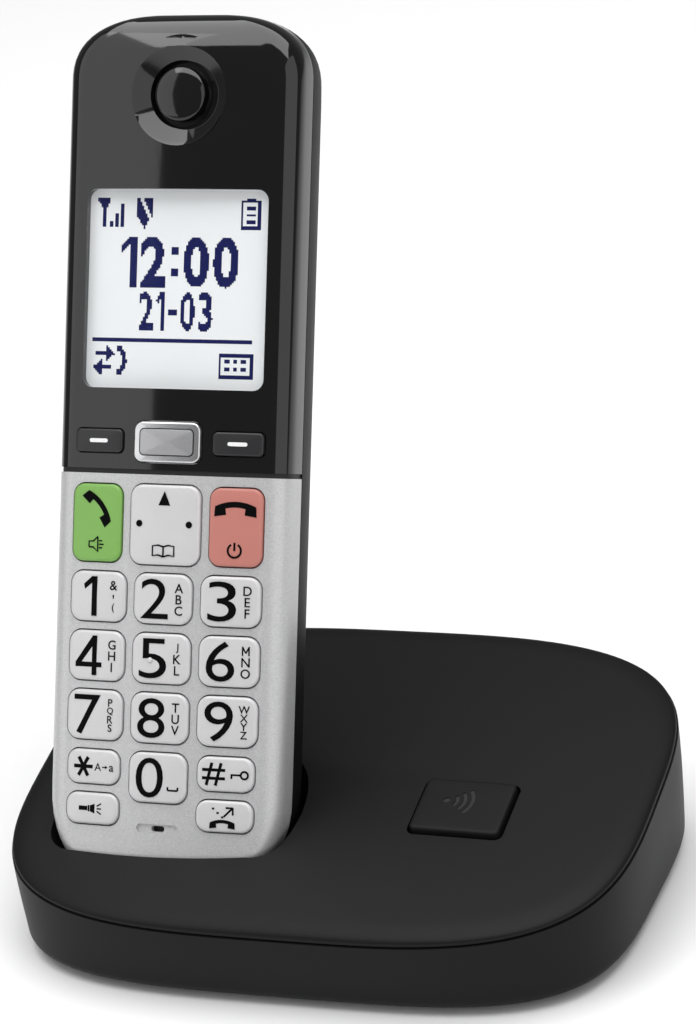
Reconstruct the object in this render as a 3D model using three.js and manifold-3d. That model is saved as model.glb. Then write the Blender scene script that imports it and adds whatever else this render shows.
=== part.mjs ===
// A cordless telephone standing in its charging base, in millimetres, +Z up.
// The base is a low wedge with a crowned top. The handset leans back in a well on the left, facing -Y.
// Each physical piece is one named mesh. The origin is under the middle of the whole phone, on the table.
import * as THREE from "three";
import { mergeVertices } from "three/addons/utils/BufferGeometryUtils.js";
import Module from "manifold-3d";

const wasm = await Module();
wasm.setup();

// ---- Driving dimensions ----------------------------------------------------------------------
const GAP = 0.3; // between two pieces that touch on the real phone

// Base
const BASE_HALF_WIDTH = 68; // at the seam between the cover and the housing
const BASE_HALF_DEPTH = 48.5;
const BASE_POWER = 3.34; // exponent of the superellipse outline at the seam
const FLOOR_POWER = 3.8; // and of the squarer outline at the floor
const BASE_SLOPE = THREE.MathUtils.degToRad(9.7); // the seam rises towards the back
const SEAM_HEIGHT = 25; // of the seam's middle over the table
const BASE_WALL = 2.0;
const BASE_DRAFT = 1.2; // the housing narrows by this from the seam to its bottom fillet
const BASE_END_DRAFT = 0.6; // and by this much more at its two ends
const BASE_FILLET = 3; // around the cover's edge
const OUTLINE_POINTS = 40;
const COVER_LIP = 0.7; // upright edge of the cover over the seam
const COVER_RIM = 2.2; // height over the seam where the rounded edge ends
const COVER_EDGE = 4.6; // how far in the rounded edge reaches
const COVER_SETBACK = 0.3; // of the cover's edge from the housing's
const COVER_CROWN = 1.3; // extra height in the middle
const SEAM_GAP = 0.4;
const FOOT_HEIGHT = 1.3;
const FOOT_RADIUS = 4.5;
const FOOT_X = 47.5;
const FOOT_Y = 34.5;
const FOOT_SOCKET = 0.8; // how far a foot is let into the housing

// Handset
const HANDSET_WIDTH = 51.6;
const HANDSET_LENGTH = 180.6;
const HANDSET_DEPTH = 26;
const HANDSET_LEAN = THREE.MathUtils.degToRad(26.8);
const HANDSET_X = -31.0;
const HANDSET_Y = -33; // the front face's lower edge
const HANDSET_Z = 15.3;
const HANDSET_LIFT_CLEARANCE = 0.7; // between the handset and its well
const WELL_SIDE_GAP = 1.6; // and beside the handset
const CASE_WALL = 1.8;
const CASE_SEAM_DEPTH = 9.8; // where the front cases meet the rear case
const CROWN_RADIUS = 161; // of the front face, across its width
const CROWN_POINTS = 8;
const TOP_CORNER = { x: 20, z: 13.5 };
const BOTTOM_CORNER = { x: 20, z: 20 };
const PANEL_SEAM_Z = 86; // where the silver case meets the black one
const PANEL_GROOVE = 1.0;

// Keys: place of each key's middle, its size, and its corner radius
const KEY_CLEARANCE = 0.3;
const KEY_PROUD = 0.8;
const KEY_TRAVEL = 0.6;
const KEY_FLANGE = 0.9; // how far the hidden flange reaches past the key
const KEY_FLANGE_DEPTH = 0.8;
const KEY_COLUMN = 14.7;
const KEY_ROW = 12.19;
const MIDDLE_ROW_Z = 48.5;
const DIGIT = { w: KEY_COLUMN - 2.0, h: 10.2, r: 2.6 };
const SHORT_KEY = { w: KEY_COLUMN - 2.7, h: 7.0, r: 2.4 };
const LOW_KEY = { w: KEY_COLUMN - 2.7, h: 6.4, r: 2.4 };
const CALL_KEY = { w: 11.2, h: 15.9, r: 2.4 };
const NAV_KEY = { w: 15.4, h: 16.3, r: 2.6 };
const SOFT_KEY = { w: 10.7, h: 4.7, r: 1.0 };
const SILVER_KEY = { w: 14.6, h: 8.2, r: 1.8 };
const CALL_COLUMN = 15.4;
const CALL_ROW_Z = MIDDLE_ROW_Z + 27.3;
const SOFT_ROW_Z = MIDDLE_ROW_Z + 44.2;
const ZERO_Z = MIDDLE_ROW_Z - 2 * KEY_ROW;
const SHORT_ROW_Z = MIDDLE_ROW_Z - 22.9;
const LOW_ROW_Z = MIDDLE_ROW_Z - 31.5;
const NAV_FLANGE_DROP = 0.6; // the rocking key's flange sits lower, so that it can tilt

// Display, earpiece and microphone
const WINDOW = { w: 39.6, h: 40.2, r: 2.0, z: MIDDLE_ROW_Z + 75.5 };
const WINDOW_THICKNESS = 1.2;
const DISPLAY = { w: 43, h: 44, front: CASE_WALL + 1.4, back: 6.0 };
const EAR_Z = MIDDLE_ROW_Z + 115.3;
const EAR_DISH_RADIUS = 10.7;
const EAR_HOLE_RADIUS = 6.6;
const EAR_CAP_RADIUS = 5.6;
const EAR_DISH_DEPTH = 2.2;
const EAR_BOSS_RADIUS = 12.2;
const EAR_BOSS_BACK = 3.4;
const RECEIVER_RADIUS = 7.5;
const MIC_Z = MIDDLE_ROW_Z - 34.9;
const MIC_SLOT = { w: 9.0, h: 1.8, depth: 0.5 };
const MIC_HOLE_RADIUS = 0.8;
const TORCH_RADIUS = 2.6;
const TORCH_DEPTH = 14;

// Inside the handset, measured back from the front face
const MAT_FRONT = 5.6;
const MAT_BACK = 6.4;
const BOARD_FRONT = 6.7;
const BOARD_BACK = 7.9;
const BOARD_HALF_WIDTH = 20;
const BOARD_BOTTOM = 14;
const BOARD_TOP = 148;

// Battery bay and its cover
const CELL_RADIUS = 5.25;
const CELL_LENGTH = 44.5;
const CELL_SPACING = 11.6;
const BAY_HALF_WIDTH = 12.2;
const BAY_BOTTOM = 47;
const BAY_TOP = 99;
const BAY_WALL = 1.2;
const BAY_FLOOR = 13.1;
const COVER_THICKNESS = 1.8;
const LID_HALF_WIDTH = 16.5;
const LID_BOTTOM = 43;
const LID_TOP = 108;
const SHELF_THICKNESS = 1.8;
const SCREW_X = 15;
const SCREW_Z = 104;

// Charging contacts
const CONTACT_X = 9;
const CONTACT_WIDTH = 3;
const CONTACT_LENGTH = 5;
const CONTACT_THICKNESS = 0.8;
const CONTACT_DEPTH = 11; // back from the front face

// Locator button, in the cover's own tilted frame
const LOCATOR = { x: 30.0, y: -10, w: 19.2, d: 15.5, r: 1.2 };
const LOCATOR_PROUD = 1.2;
const LOCATOR_CLEARANCE = 0.6;
const LOCATOR_TRAVEL = 1.0;
const LOCATOR_SKIRT = 4.5; // from the cover's surface to the button's underside
const LOCATOR_FLANGE = 1.5;

// Inside the base
const BASE_BOARD = { x: 27, y: 6, w: 48, d: 42, bottom: 8.0, thickness: 1.6 };
const JACK_FRONT_Y = 30; // where the two sockets start; they run back to the housing's rear wall
const LINE_JACK = { x: 24, w: 13, h: 11, openW: 9.6, openH: 6.6, openDepth: 10 };
const POWER_JACK = { x: 45, w: 9, h: 9, holeRadius: 3.1, pinRadius: 1.0, holeDepth: 9 };
const BASE_SCREWS = { left: [7, -34], right: [57, 12] };
const BOSS_RADIUS = 3.4;
const SCREW_RADIUS = 1.2;
const SCREW_HEAD_RADIUS = 2.6;
const SCREW_HEAD_HEIGHT = 1.6;

// ---- Solids ------------------------------------------------------------------------------------
function solid(geometry) {
  const flat = geometry.index ? geometry.toNonIndexed() : geometry.clone();
  flat.deleteAttribute("normal");
  flat.deleteAttribute("uv");
  const merged = mergeVertices(flat, 1e-4);
  return new wasm.Manifold(
    new wasm.Mesh({
      numProp: 3,
      vertProperties: merged.attributes.position.array,
      triVerts: new Uint32Array(merged.index.array),
    }),
  );
}

function geometryOf(made) {
  const m = made.getMesh();
  const position = new Float32Array(m.numVert * 3);
  for (let i = 0; i < m.numVert; i++) {
    position.set(m.vertProperties.subarray(i * m.numProp, i * m.numProp + 3), i * 3);
  }
  return new THREE.BufferGeometry()
    .setAttribute("position", new THREE.BufferAttribute(position, 3))
    .setIndex(new THREE.BufferAttribute(m.triVerts, 1));
}

const join = (first, ...rest) => rest.reduce((sum, s) => sum.add(s), first);
const cut = (first, ...rest) => rest.reduce((left, s) => left.subtract(s), first);

// A box given by its low and high corners
function box(x0, x1, y0, y1, z0, z1) {
  const g = new THREE.BoxGeometry(x1 - x0, y1 - y0, z1 - z0);
  return solid(g.translate((x0 + x1) / 2, (y0 + y1) / 2, (z0 + z1) / 2));
}

// A round bar or cone along local Y, from y0 to y1
function barY(r0, r1, x, z, y0, y1, sides = 24) {
  const g = new THREE.CylinderGeometry(r1, r0, y1 - y0, sides);
  return solid(g.translate(x, (y0 + y1) / 2, z));
}

// A round bar or cone along Z
function barZ(r0, r1, x, y, z0, z1, sides = 20) {
  const g = new THREE.CylinderGeometry(r1, r0, z1 - z0, sides);
  return solid(g.rotateX(Math.PI / 2).translate(x, y, (z0 + z1) / 2));
}

function roundedRectangle(w, h, r, cx = 0, cy = 0) {
  const s = new THREE.Shape();
  const [x, y] = [w / 2 - r, h / 2 - r];
  s.absarc(cx + x, cy + y, r, 0, Math.PI / 2);
  s.absarc(cx - x, cy + y, r, Math.PI / 2, Math.PI);
  s.absarc(cx - x, cy - y, r, Math.PI, 1.5 * Math.PI);
  s.absarc(cx + x, cy - y, r, 1.5 * Math.PI, 2 * Math.PI);
  s.closePath();
  return s;
}

const extruded = (shape, depth, curveSegments) =>
  new THREE.ExtrudeGeometry(shape, { depth, curveSegments, bevelEnabled: false });

// A shape drawn in X and Z, as thick as y0 to y1
function faceSlab(shape, y0, y1, curveSegments = 4) {
  return solid(extruded(shape, y1 - y0, curveSegments).rotateX(Math.PI / 2).translate(0, y1, 0));
}

// A shape drawn in X and Y, from z0 up to z1
function levelSlab(shape, z0, z1, curveSegments = 4) {
  return solid(extruded(shape, z1 - z0, curveSegments).translate(0, 0, z0));
}

// A shape drawn in Y and Z, from x0 to x1
function sideSlab(shape, x0, x1, curveSegments = 4) {
  const turn = new THREE.Matrix4().makeBasis(
    new THREE.Vector3(0, 1, 0),
    new THREE.Vector3(0, 0, 1),
    new THREE.Vector3(1, 0, 0),
  );
  return solid(extruded(shape, x1 - x0, curveSegments).applyMatrix4(turn).translate(x0, 0, 0));
}

// A closed skin over a stack of rings, each counter-clockwise seen from above, lowest first
function loft(rings) {
  const count = rings[0].length;
  const points = rings.flat();
  const middle = (ring) => ring.reduce((s, p) => s.add(p), new THREE.Vector3()).divideScalar(count);
  points.push(middle(rings[0]), middle(rings.at(-1)));
  const [low, high] = [points.length - 2, points.length - 1];
  const faces = [];
  const last = (rings.length - 1) * count;
  for (let i = 0; i < count; i++) {
    const j = (i + 1) % count;
    faces.push(low, j, i);
    faces.push(high, last + i, last + j);
    for (let k = 0; k < last; k += count) {
      faces.push(k + i, k + j, k + count + j);
      faces.push(k + i, k + count + j, k + count + i);
    }
  }
  const g = new THREE.BufferGeometry().setFromPoints(points);
  return solid(g.setIndex(faces));
}

// ---- Base shape --------------------------------------------------------------------------------
function outline(halfWidth, halfDepth, power = BASE_POWER) {
  return Array.from({ length: OUTLINE_POINTS }, (_, i) => {
    const t = (2 * Math.PI * (i + 0.5)) / OUTLINE_POINTS;
    const bend = (v) => Math.sign(v) * Math.abs(v) ** (2 / power);
    return new THREE.Vector2(halfWidth * bend(Math.cos(t)), halfDepth * bend(Math.sin(t)));
  });
}

const seamZ = (y) => SEAM_HEIGHT + y * Math.tan(BASE_SLOPE);

// The housing's body, drawn in by "inset" all round, its top on the seam plane raised by "over"
function housingBody(inset, over) {
  const floor = FOOT_HEIGHT + inset;
  const radius = Math.max(BASE_FILLET - inset, 2);
  const rings = [0, 30, 60, 90].map((deg) => {
    const a = THREE.MathUtils.degToRad(deg);
    const step = inset + BASE_DRAFT + radius * (1 - Math.sin(a));
    const z = floor + radius * (1 - Math.cos(a));
    const halfWidth = BASE_HALF_WIDTH - BASE_END_DRAFT - step;
    return outline(halfWidth, BASE_HALF_DEPTH - step, FLOOR_POWER).map(
      (p) => new THREE.Vector3(p.x, p.y, z),
    );
  });
  const top = outline(BASE_HALF_WIDTH - inset, BASE_HALF_DEPTH - inset);
  rings.push(top.map((p) => new THREE.Vector3(p.x, p.y, seamZ(p.y) + over)));
  return loft(rings);
}

// The cover's frame: X across, Y up the slope, Z off the seam plane
const coverFrame = new THREE.Matrix4()
  .makeTranslation(0, 0, SEAM_HEIGHT)
  .multiply(new THREE.Matrix4().makeRotationX(BASE_SLOPE));
const coverHalfDepth = BASE_HALF_DEPTH / Math.cos(BASE_SLOPE);

const crownHeight = (x, y) =>
  COVER_RIM + COVER_CROWN * (1 - (x / BASE_HALF_WIDTH) ** 2 - (y / coverHalfDepth) ** 2);

const placed = (made, matrix) => solid(geometryOf(made).applyMatrix4(matrix));

// The cover's body, drawn in by "inset", its underside at "low" in the cover's frame
function coverBody(inset, low) {
  const ring = (step, lift) =>
    outline(BASE_HALF_WIDTH - step, coverHalfDepth - step).map(
      (p) => new THREE.Vector3(p.x, p.y, lift ?? crownHeight(p.x, p.y) - inset),
    );
  const side = COVER_SETBACK + inset;
  const rings = [ring(side, low)];
  for (const deg of [0, 22, 45, 68, 90]) {
    const a = THREE.MathUtils.degToRad(deg);
    const up = COVER_LIP + (COVER_RIM - COVER_LIP) * Math.sin(a);
    rings.push(ring(side + COVER_EDGE * (1 - Math.cos(a)), up - inset));
  }
  const edge = side + COVER_EDGE;
  for (const share of [0.16, 0.36, 0.6, 0.84]) {
    rings.push(ring(edge + share * (coverHalfDepth - edge)));
  }
  return placed(loft(rings), coverFrame);
}

// ---- Handset shape -----------------------------------------------------------------------------
const crownDepth = (x) => (x * x) / (2 * CROWN_RADIUS);

// Seen from the front: straight sides and softly arched ends
function handsetFront(grow) {
  const [x, low, high] = [HANDSET_WIDTH / 2 + grow, -grow, HANDSET_LENGTH + grow];
  const [t, b] = [TOP_CORNER, BOTTOM_CORNER];
  const s = new THREE.Shape();
  s.moveTo(x, low + b.z);
  s.lineTo(x, high - t.z);
  s.bezierCurveTo(x, high - 0.42 * t.z, x - 0.2 * t.x, high, x - t.x, high);
  s.lineTo(-x + t.x, high);
  s.bezierCurveTo(-x + 0.2 * t.x, high, -x, high - 0.42 * t.z, -x, high - t.z);
  s.lineTo(-x, low + b.z);
  s.bezierCurveTo(-x, low + 0.42 * b.z, -x + 0.3 * b.x, low, -x + b.x, low);
  s.lineTo(x - b.x, low);
  s.bezierCurveTo(x - 0.3 * b.x, low, x, low + 0.42 * b.z, x, low + b.z);
  return s;
}

// Across the handset: a crowned face, short side walls and a rounded back
function handsetSection(grow) {
  const x = HANDSET_WIDTH / 2 + grow;
  const back = HANDSET_DEPTH + grow;
  const faceHalf = x - 3.6;
  const face = crownDepth(faceHalf) - grow;
  const s = new THREE.Shape();
  s.moveTo(x, 5);
  s.lineTo(x, 9);
  s.bezierCurveTo(x, 0.66 * back, 0.9 * x, back, 0.5 * x, back);
  s.lineTo(-0.5 * x, back);
  s.bezierCurveTo(-0.9 * x, back, -x, 0.66 * back, -x, 9);
  s.lineTo(-x, 5);
  s.bezierCurveTo(-x, 3, -x + 1.2, face + 0.15, -faceHalf, face);
  for (let i = 1; i <= CROWN_POINTS; i++) {
    const at = -faceHalf + (2 * faceHalf * i) / CROWN_POINTS;
    s.lineTo(at, crownDepth(at) - grow);
  }
  s.bezierCurveTo(x - 1.2, face + 0.15, x, 3, x, 5);
  return s;
}

// From the side: a round top, and a chin that sweeps up to the back
function handsetSide(grow) {
  const [front, back] = [-grow, HANDSET_DEPTH + grow];
  const [low, high] = [-grow, HANDSET_LENGTH + grow];
  const s = new THREE.Shape();
  s.moveTo(front, high - 8);
  s.lineTo(front, low + 8);
  s.bezierCurveTo(front, low + 3, front + 3, low, front + 7, low);
  s.lineTo(front + 15, low);
  s.bezierCurveTo(back - 5, low, back, low + 8, back, low + 22);
  s.lineTo(back, high - 18);
  s.bezierCurveTo(back, high - 6, back - 5, high, back - 12, high);
  s.lineTo(front + 9, high);
  s.bezierCurveTo(front + 3.5, high, front, high - 3.5, front, high - 8);
  return s;
}

// The whole handset, grown by "grow" on every side
function handsetBody(grow) {
  const reach = 60;
  const front = faceSlab(handsetFront(grow), -reach, reach, 6);
  const section = levelSlab(handsetSection(grow), -reach, HANDSET_LENGTH + reach, 5);
  const side = sideSlab(handsetSide(grow), -reach, reach, 5);
  return front.intersect(section).intersect(side);
}

const handsetFrame = new THREE.Matrix4()
  .makeTranslation(HANDSET_X, HANDSET_Y, HANDSET_Z)
  .multiply(new THREE.Matrix4().makeRotationX(-HANDSET_LEAN));

// ---- Materials ---------------------------------------------------------------------------------
const material = (color, roughness, metalness = 0) =>
  new THREE.MeshStandardMaterial({ color, roughness, metalness });
const charcoal = material(0x2a2a2d, 0.6);
const glossBlack = material(0x0c0c0d, 0.12);
const silver = material(0xb9b9bb, 0.38, 0.5);
const keySilver = material(0xc4c4c6, 0.4, 0.3);
const green = material(0x7db04f, 0.4);
const red = material(0xc8776a, 0.4);
const chrome = material(0xd5d5d8, 0.15, 1);
const displayWhite = material(0xe9ecec, 0.5);
const clear = material(0xffffff, 0.1);
const boardGreen = material(0x1f5a35, 0.5);
const rubber = material(0x202020, 0.9);
const matRubber = material(0x8f9298, 0.8);
const metal = material(0xc9c9c4, 0.3, 1);
const cellGreen = material(0x3f7d3a, 0.35);
const socketBlack = material(0x111111, 0.5);

const phone = new THREE.Group();
const base = new THREE.Group();
const handset = new THREE.Group();
handset.applyMatrix4(handsetFrame);
phone.add(base, handset);

function add(group, name, made, finish) {
  const mesh = new THREE.Mesh(geometryOf(made), finish);
  mesh.name = name;
  group.add(mesh);
}

// ---- Keys --------------------------------------------------------------------------------------
const keys = [
  ...[1, 2, 3, 4, 5, 6, 7, 8, 9].map((n) => ({
    name: `key_${n}`,
    x: (((n - 1) % 3) - 1) * KEY_COLUMN,
    z: MIDDLE_ROW_Z + (1 - Math.floor((n - 1) / 3)) * KEY_ROW,
    size: DIGIT,
    finish: keySilver,
  })),
  { name: "key_0", x: 0, z: ZERO_Z, size: DIGIT, finish: keySilver },
  { name: "key_star", x: -KEY_COLUMN, z: SHORT_ROW_Z, size: SHORT_KEY, finish: keySilver },
  { name: "key_hash", x: KEY_COLUMN, z: SHORT_ROW_Z, size: SHORT_KEY, finish: keySilver },
  { name: "key_torch", x: -KEY_COLUMN, z: LOW_ROW_Z, size: LOW_KEY, finish: keySilver },
  { name: "key_redial", x: KEY_COLUMN, z: LOW_ROW_Z, size: LOW_KEY, finish: keySilver },
  { name: "key_talk", x: -CALL_COLUMN, z: CALL_ROW_Z, size: CALL_KEY, finish: green },
  { name: "key_hang_up", x: CALL_COLUMN, z: CALL_ROW_Z, size: CALL_KEY, finish: red },
  { name: "navigator_key", x: 0, z: CALL_ROW_Z, size: NAV_KEY, finish: keySilver, rocks: true },
  { name: "soft_key_left", x: -CALL_COLUMN, z: SOFT_ROW_Z, size: SOFT_KEY, finish: rubber },
  { name: "soft_key_right", x: CALL_COLUMN, z: SOFT_ROW_Z, size: SOFT_KEY, finish: rubber },
  { name: "centre_key", x: 0, z: SOFT_ROW_Z, size: SILVER_KEY, finish: chrome },
];

const keyShape = ({ x, z, size }, grow) =>
  roundedRectangle(size.w + 2 * grow, size.h + 2 * grow, size.r + grow, x, z);

// Depths of a key's flange and underside, clear of the crowned face's inside
function keyDepths(key) {
  const face = crownDepth(Math.abs(key.x) + key.size.w / 2 + KEY_FLANGE);
  const flange = face + CASE_WALL + 1.5 * GAP + (key.rocks ? NAV_FLANGE_DROP : 0);
  return { flange, underside: flange + KEY_FLANGE_DEPTH };
}

const raised = handsetBody(KEY_PROUD);
function keySolid(key) {
  const { flange, underside } = keyDepths(key);
  const cap = faceSlab(keyShape(key, 0), -2 * KEY_PROUD, flange + 0.1, 3).intersect(raised);
  return join(cap, faceSlab(keyShape(key, KEY_FLANGE), flange, underside, 2));
}

for (const key of keys) add(handset, key.name, keySolid(key), key.finish);

// ---- Front cases -------------------------------------------------------------------------------
const outer = handsetBody(0);
const inner = handsetBody(-CASE_WALL);
const shell = outer.subtract(inner);
const everywhere = HANDSET_LENGTH + 10;
const frontHalf = shell.intersect(
  box(-everywhere, everywhere, -everywhere, CASE_SEAM_DEPTH - GAP / 2, -everywhere, everywhere),
);
const keyHoles = keys.map((key) =>
  faceSlab(keyShape(key, KEY_CLEARANCE), -2, keyDepths(key).flange + 1),
);

function frontLowerCase() {
  const zone = box(-everywhere, everywhere, -everywhere, everywhere, -everywhere, PANEL_SEAM_Z);
  const slot = roundedRectangle(MIC_SLOT.w, MIC_SLOT.h, MIC_SLOT.h / 2.01, 0, MIC_Z);
  return cut(
    frontHalf.intersect(zone),
    ...keyHoles,
    faceSlab(slot, -1, MIC_SLOT.depth),
    barY(MIC_HOLE_RADIUS, MIC_HOLE_RADIUS, 0, MIC_Z, -1, CASE_WALL + 1, 10),
    ...contactPlates(GAP),
  );
}

// The tongue that shows dark in the groove between the two cases
function panelTongue() {
  const low = PANEL_SEAM_Z + GAP;
  const ring = handsetBody(-CASE_WALL / 2).subtract(inner);
  return ring.intersect(
    box(-everywhere, everywhere, -10, CASE_SEAM_DEPTH - GAP / 2, low, low + PANEL_GROOVE),
  );
}

function frontUpperCase() {
  const low = PANEL_SEAM_Z + PANEL_GROOVE;
  const zone = box(-everywhere, everywhere, -everywhere, everywhere, low, everywhere);
  const boss = barY(EAR_BOSS_RADIUS, EAR_BOSS_RADIUS, 0, EAR_Z, CASE_WALL - 0.6, EAR_BOSS_BACK);
  const [flare, dishSlope] = [1, (EAR_DISH_RADIUS - EAR_HOLE_RADIUS - 0.6) / EAR_DISH_DEPTH];
  const dish = barY(
    EAR_DISH_RADIUS + flare * dishSlope,
    EAR_HOLE_RADIUS + 0.6,
    0,
    EAR_Z,
    -flare,
    EAR_DISH_DEPTH,
    32,
  );
  return cut(
    join(frontHalf.intersect(zone), boss, panelTongue()),
    dish,
    barY(EAR_HOLE_RADIUS, EAR_HOLE_RADIUS, 0, EAR_Z, -1, EAR_BOSS_BACK + 1),
    faceSlab(windowShape(GAP), -1, CASE_WALL + 4),
    ...keyHoles,
    torchHole(),
  );
}

const windowShape = (grow) =>
  roundedRectangle(WINDOW.w + 2 * grow, WINDOW.h + 2 * grow, WINDOW.r + grow, 0, WINDOW.z);

function torchHole() {
  const r = TORCH_RADIUS + GAP;
  return barZ(r, r, 0, TORCH_DEPTH, HANDSET_LENGTH - 6, HANDSET_LENGTH + 2);
}

// The two strips on the chin, let into the case by their own thickness
function contactPlates(grow) {
  return [-1, 1].map((side) => {
    const x = side * CONTACT_X;
    return box(
      x - CONTACT_WIDTH / 2 - grow,
      x + CONTACT_WIDTH / 2 + grow,
      CONTACT_DEPTH - CONTACT_LENGTH / 2 - grow,
      CONTACT_DEPTH + CONTACT_LENGTH / 2 + grow,
      -grow - (grow ? 2 : 0),
      CONTACT_THICKNESS + grow,
    );
  });
}

add(handset, "front_lower_case", frontLowerCase(), silver);
add(handset, "front_upper_case", frontUpperCase(), glossBlack);

// ---- Display and earpiece ----------------------------------------------------------------------
const windowZone = faceSlab(windowShape(0), -2, 10);
const lens = handsetBody(-GAP).subtract(handsetBody(-GAP - WINDOW_THICKNESS));
add(handset, "display_window", lens.intersect(windowZone), clear);
add(
  handset,
  "display_module",
  box(
    -DISPLAY.w / 2,
    DISPLAY.w / 2,
    DISPLAY.front,
    DISPLAY.back,
    WINDOW.z - DISPLAY.h / 2,
    WINDOW.z + DISPLAY.h / 2,
  ),
  displayWhite,
);

function earpieceCap() {
  const flange = EAR_BOSS_BACK + GAP;
  return join(
    barY(EAR_CAP_RADIUS, EAR_CAP_RADIUS, 0, EAR_Z, 0.7, flange - 0.6),
    barY(2.5, 2.5, 0, EAR_Z, flange - 0.7, flange + 0.1, 12),
    barY(EAR_HOLE_RADIUS + 1, EAR_HOLE_RADIUS + 1, 0, EAR_Z, flange, flange + 0.8, 16),
  );
}

add(handset, "earpiece_cap", earpieceCap(), glossBlack);
const receiverFront = EAR_BOSS_BACK + GAP + 0.8 + GAP;
add(
  handset,
  "receiver_speaker",
  barY(RECEIVER_RADIUS, RECEIVER_RADIUS, 0, EAR_Z, receiverFront, receiverFront + 3),
  metal,
);

function torchLens() {
  const top = HANDSET_LENGTH - GAP;
  return join(
    barZ(TORCH_RADIUS, TORCH_RADIUS, 0, TORCH_DEPTH, top - 3, top - 0.8),
    barZ(TORCH_RADIUS, TORCH_RADIUS * 0.6, 0, TORCH_DEPTH, top - 0.9, top),
  );
}
add(handset, "torch_lens", torchLens(), clear);

// ---- Keypad mat, navigator saddle, board and microphone ----------------------------------------
function keypadMat() {
  const low = LOW_ROW_Z - LOW_KEY.h / 2 - 1;
  const high = SOFT_ROW_Z + SILVER_KEY.h / 2 + 1.5;
  const sheet = box(-BOARD_HALF_WIDTH - 1, BOARD_HALF_WIDTH + 1, MAT_FRONT, MAT_BACK, low, high);
  const pads = keys.map((key) => {
    const front = keyDepths(key).underside + KEY_TRAVEL + GAP;
    const half = key.size.h < 5 ? 1.5 : 2.4;
    return box(key.x - half, key.x + half, front, MAT_FRONT + 0.1, key.z - half, key.z + half);
  });
  const window = box(-4, 4, MAT_FRONT - 3, MAT_BACK + 1, CALL_ROW_Z - 4, CALL_ROW_Z + 4);
  return cut(join(sheet, ...pads), window);
}
add(handset, "keypad_mat", keypadMat(), matRubber);

// The navigator key stands on this; it rocks sideways, and the key rocks up and down on it
function navigatorSaddle() {
  const front = keyDepths(keys.find((key) => key.rocks)).underside + GAP;
  return join(
    box(-3, 3, front, front + 1.2, CALL_ROW_Z - 1, CALL_ROW_Z + 1),
    box(-1, 1, front, front + 1.2, CALL_ROW_Z - 3, CALL_ROW_Z + 3),
  );
}
add(handset, "navigator_saddle", navigatorSaddle(), matRubber);

const board = box(
  -BOARD_HALF_WIDTH,
  BOARD_HALF_WIDTH,
  BOARD_FRONT,
  BOARD_BACK,
  BOARD_BOTTOM,
  BOARD_TOP,
);
add(handset, "handset_circuit_board", board, boardGreen);
const micFront = CASE_WALL + GAP;
add(handset, "microphone", barY(2, 2, 0, MIC_Z, micFront, micFront + 2.2, 12), metal);

// ---- Rear case, battery bay and battery cover --------------------------------------------------
const shelfBack = HANDSET_DEPTH - COVER_THICKNESS - GAP;
const lidZone = (grow) =>
  faceSlab(
    roundedRectangle(
      2 * LID_HALF_WIDTH + 2 * grow,
      LID_TOP - LID_BOTTOM + 2 * grow,
      3,
      0,
      (LID_TOP + LID_BOTTOM) / 2,
    ),
    shelfBack,
    HANDSET_DEPTH + 2,
  );

function soundSlots() {
  return [-2, -1, 0, 1, 2].map((n) =>
    box(-6, 6, HANDSET_DEPTH - 4, HANDSET_DEPTH + 1, 138 + 3 * n, 139.2 + 3 * n),
  );
}

function rearCase() {
  const half = shell.intersect(
    box(-everywhere, everywhere, CASE_SEAM_DEPTH + GAP / 2, everywhere, -everywhere, everywhere),
  );
  const shelf = box(
    -LID_HALF_WIDTH - 3,
    LID_HALF_WIDTH + 3,
    shelfBack - SHELF_THICKNESS,
    shelfBack,
    LID_BOTTOM - 3,
    LID_TOP + 3,
  ).intersect(outer);
  const bay = box(
    -BAY_HALF_WIDTH - BAY_WALL,
    BAY_HALF_WIDTH + BAY_WALL,
    BAY_FLOOR - BAY_WALL,
    shelfBack,
    BAY_BOTTOM - BAY_WALL,
    BAY_TOP + BAY_WALL,
  );
  const hollow = box(
    -BAY_HALF_WIDTH,
    BAY_HALF_WIDTH,
    BAY_FLOOR,
    HANDSET_DEPTH + 2,
    BAY_BOTTOM,
    BAY_TOP,
  );
  const bosses = [-1, 1].map((side) =>
    barY(3, 3, side * SCREW_X, SCREW_Z, CASE_SEAM_DEPTH + 1, shelfBack - 0.5, 14),
  );
  const screwHoles = [-1, 1].flatMap((side) => screwAt(side * SCREW_X, GAP));
  const shelled = cut(half, lidZone(GAP));
  return cut(
    join(shelled, shelf, bay, ...bosses),
    hollow,
    ...screwHoles,
    ...soundSlots(),
    torchHole(),
    ...contactPlates(GAP),
  );
}

// A case screw, its head sunk under the battery cover
function screwAt(x, grow) {
  const head = shelfBack - GAP;
  return [
    barY(1 + grow, 1 + grow, x, SCREW_Z, head - 9 - grow, head - 1, 10),
    barY(2 + grow, 2 + grow, x, SCREW_Z, head - 1.4 - grow, head + (grow ? 2 : 0), 14),
  ];
}

add(handset, "rear_case", rearCase(), charcoal);
add(handset, "battery_cover", outer.intersect(lidZone(-GAP)).intersect(lidFace()), charcoal);

// The cover starts just clear of the shelf
function lidFace() {
  return box(-30, 30, shelfBack + GAP, HANDSET_DEPTH + 1, LID_BOTTOM - 1, LID_TOP + 1);
}

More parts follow.
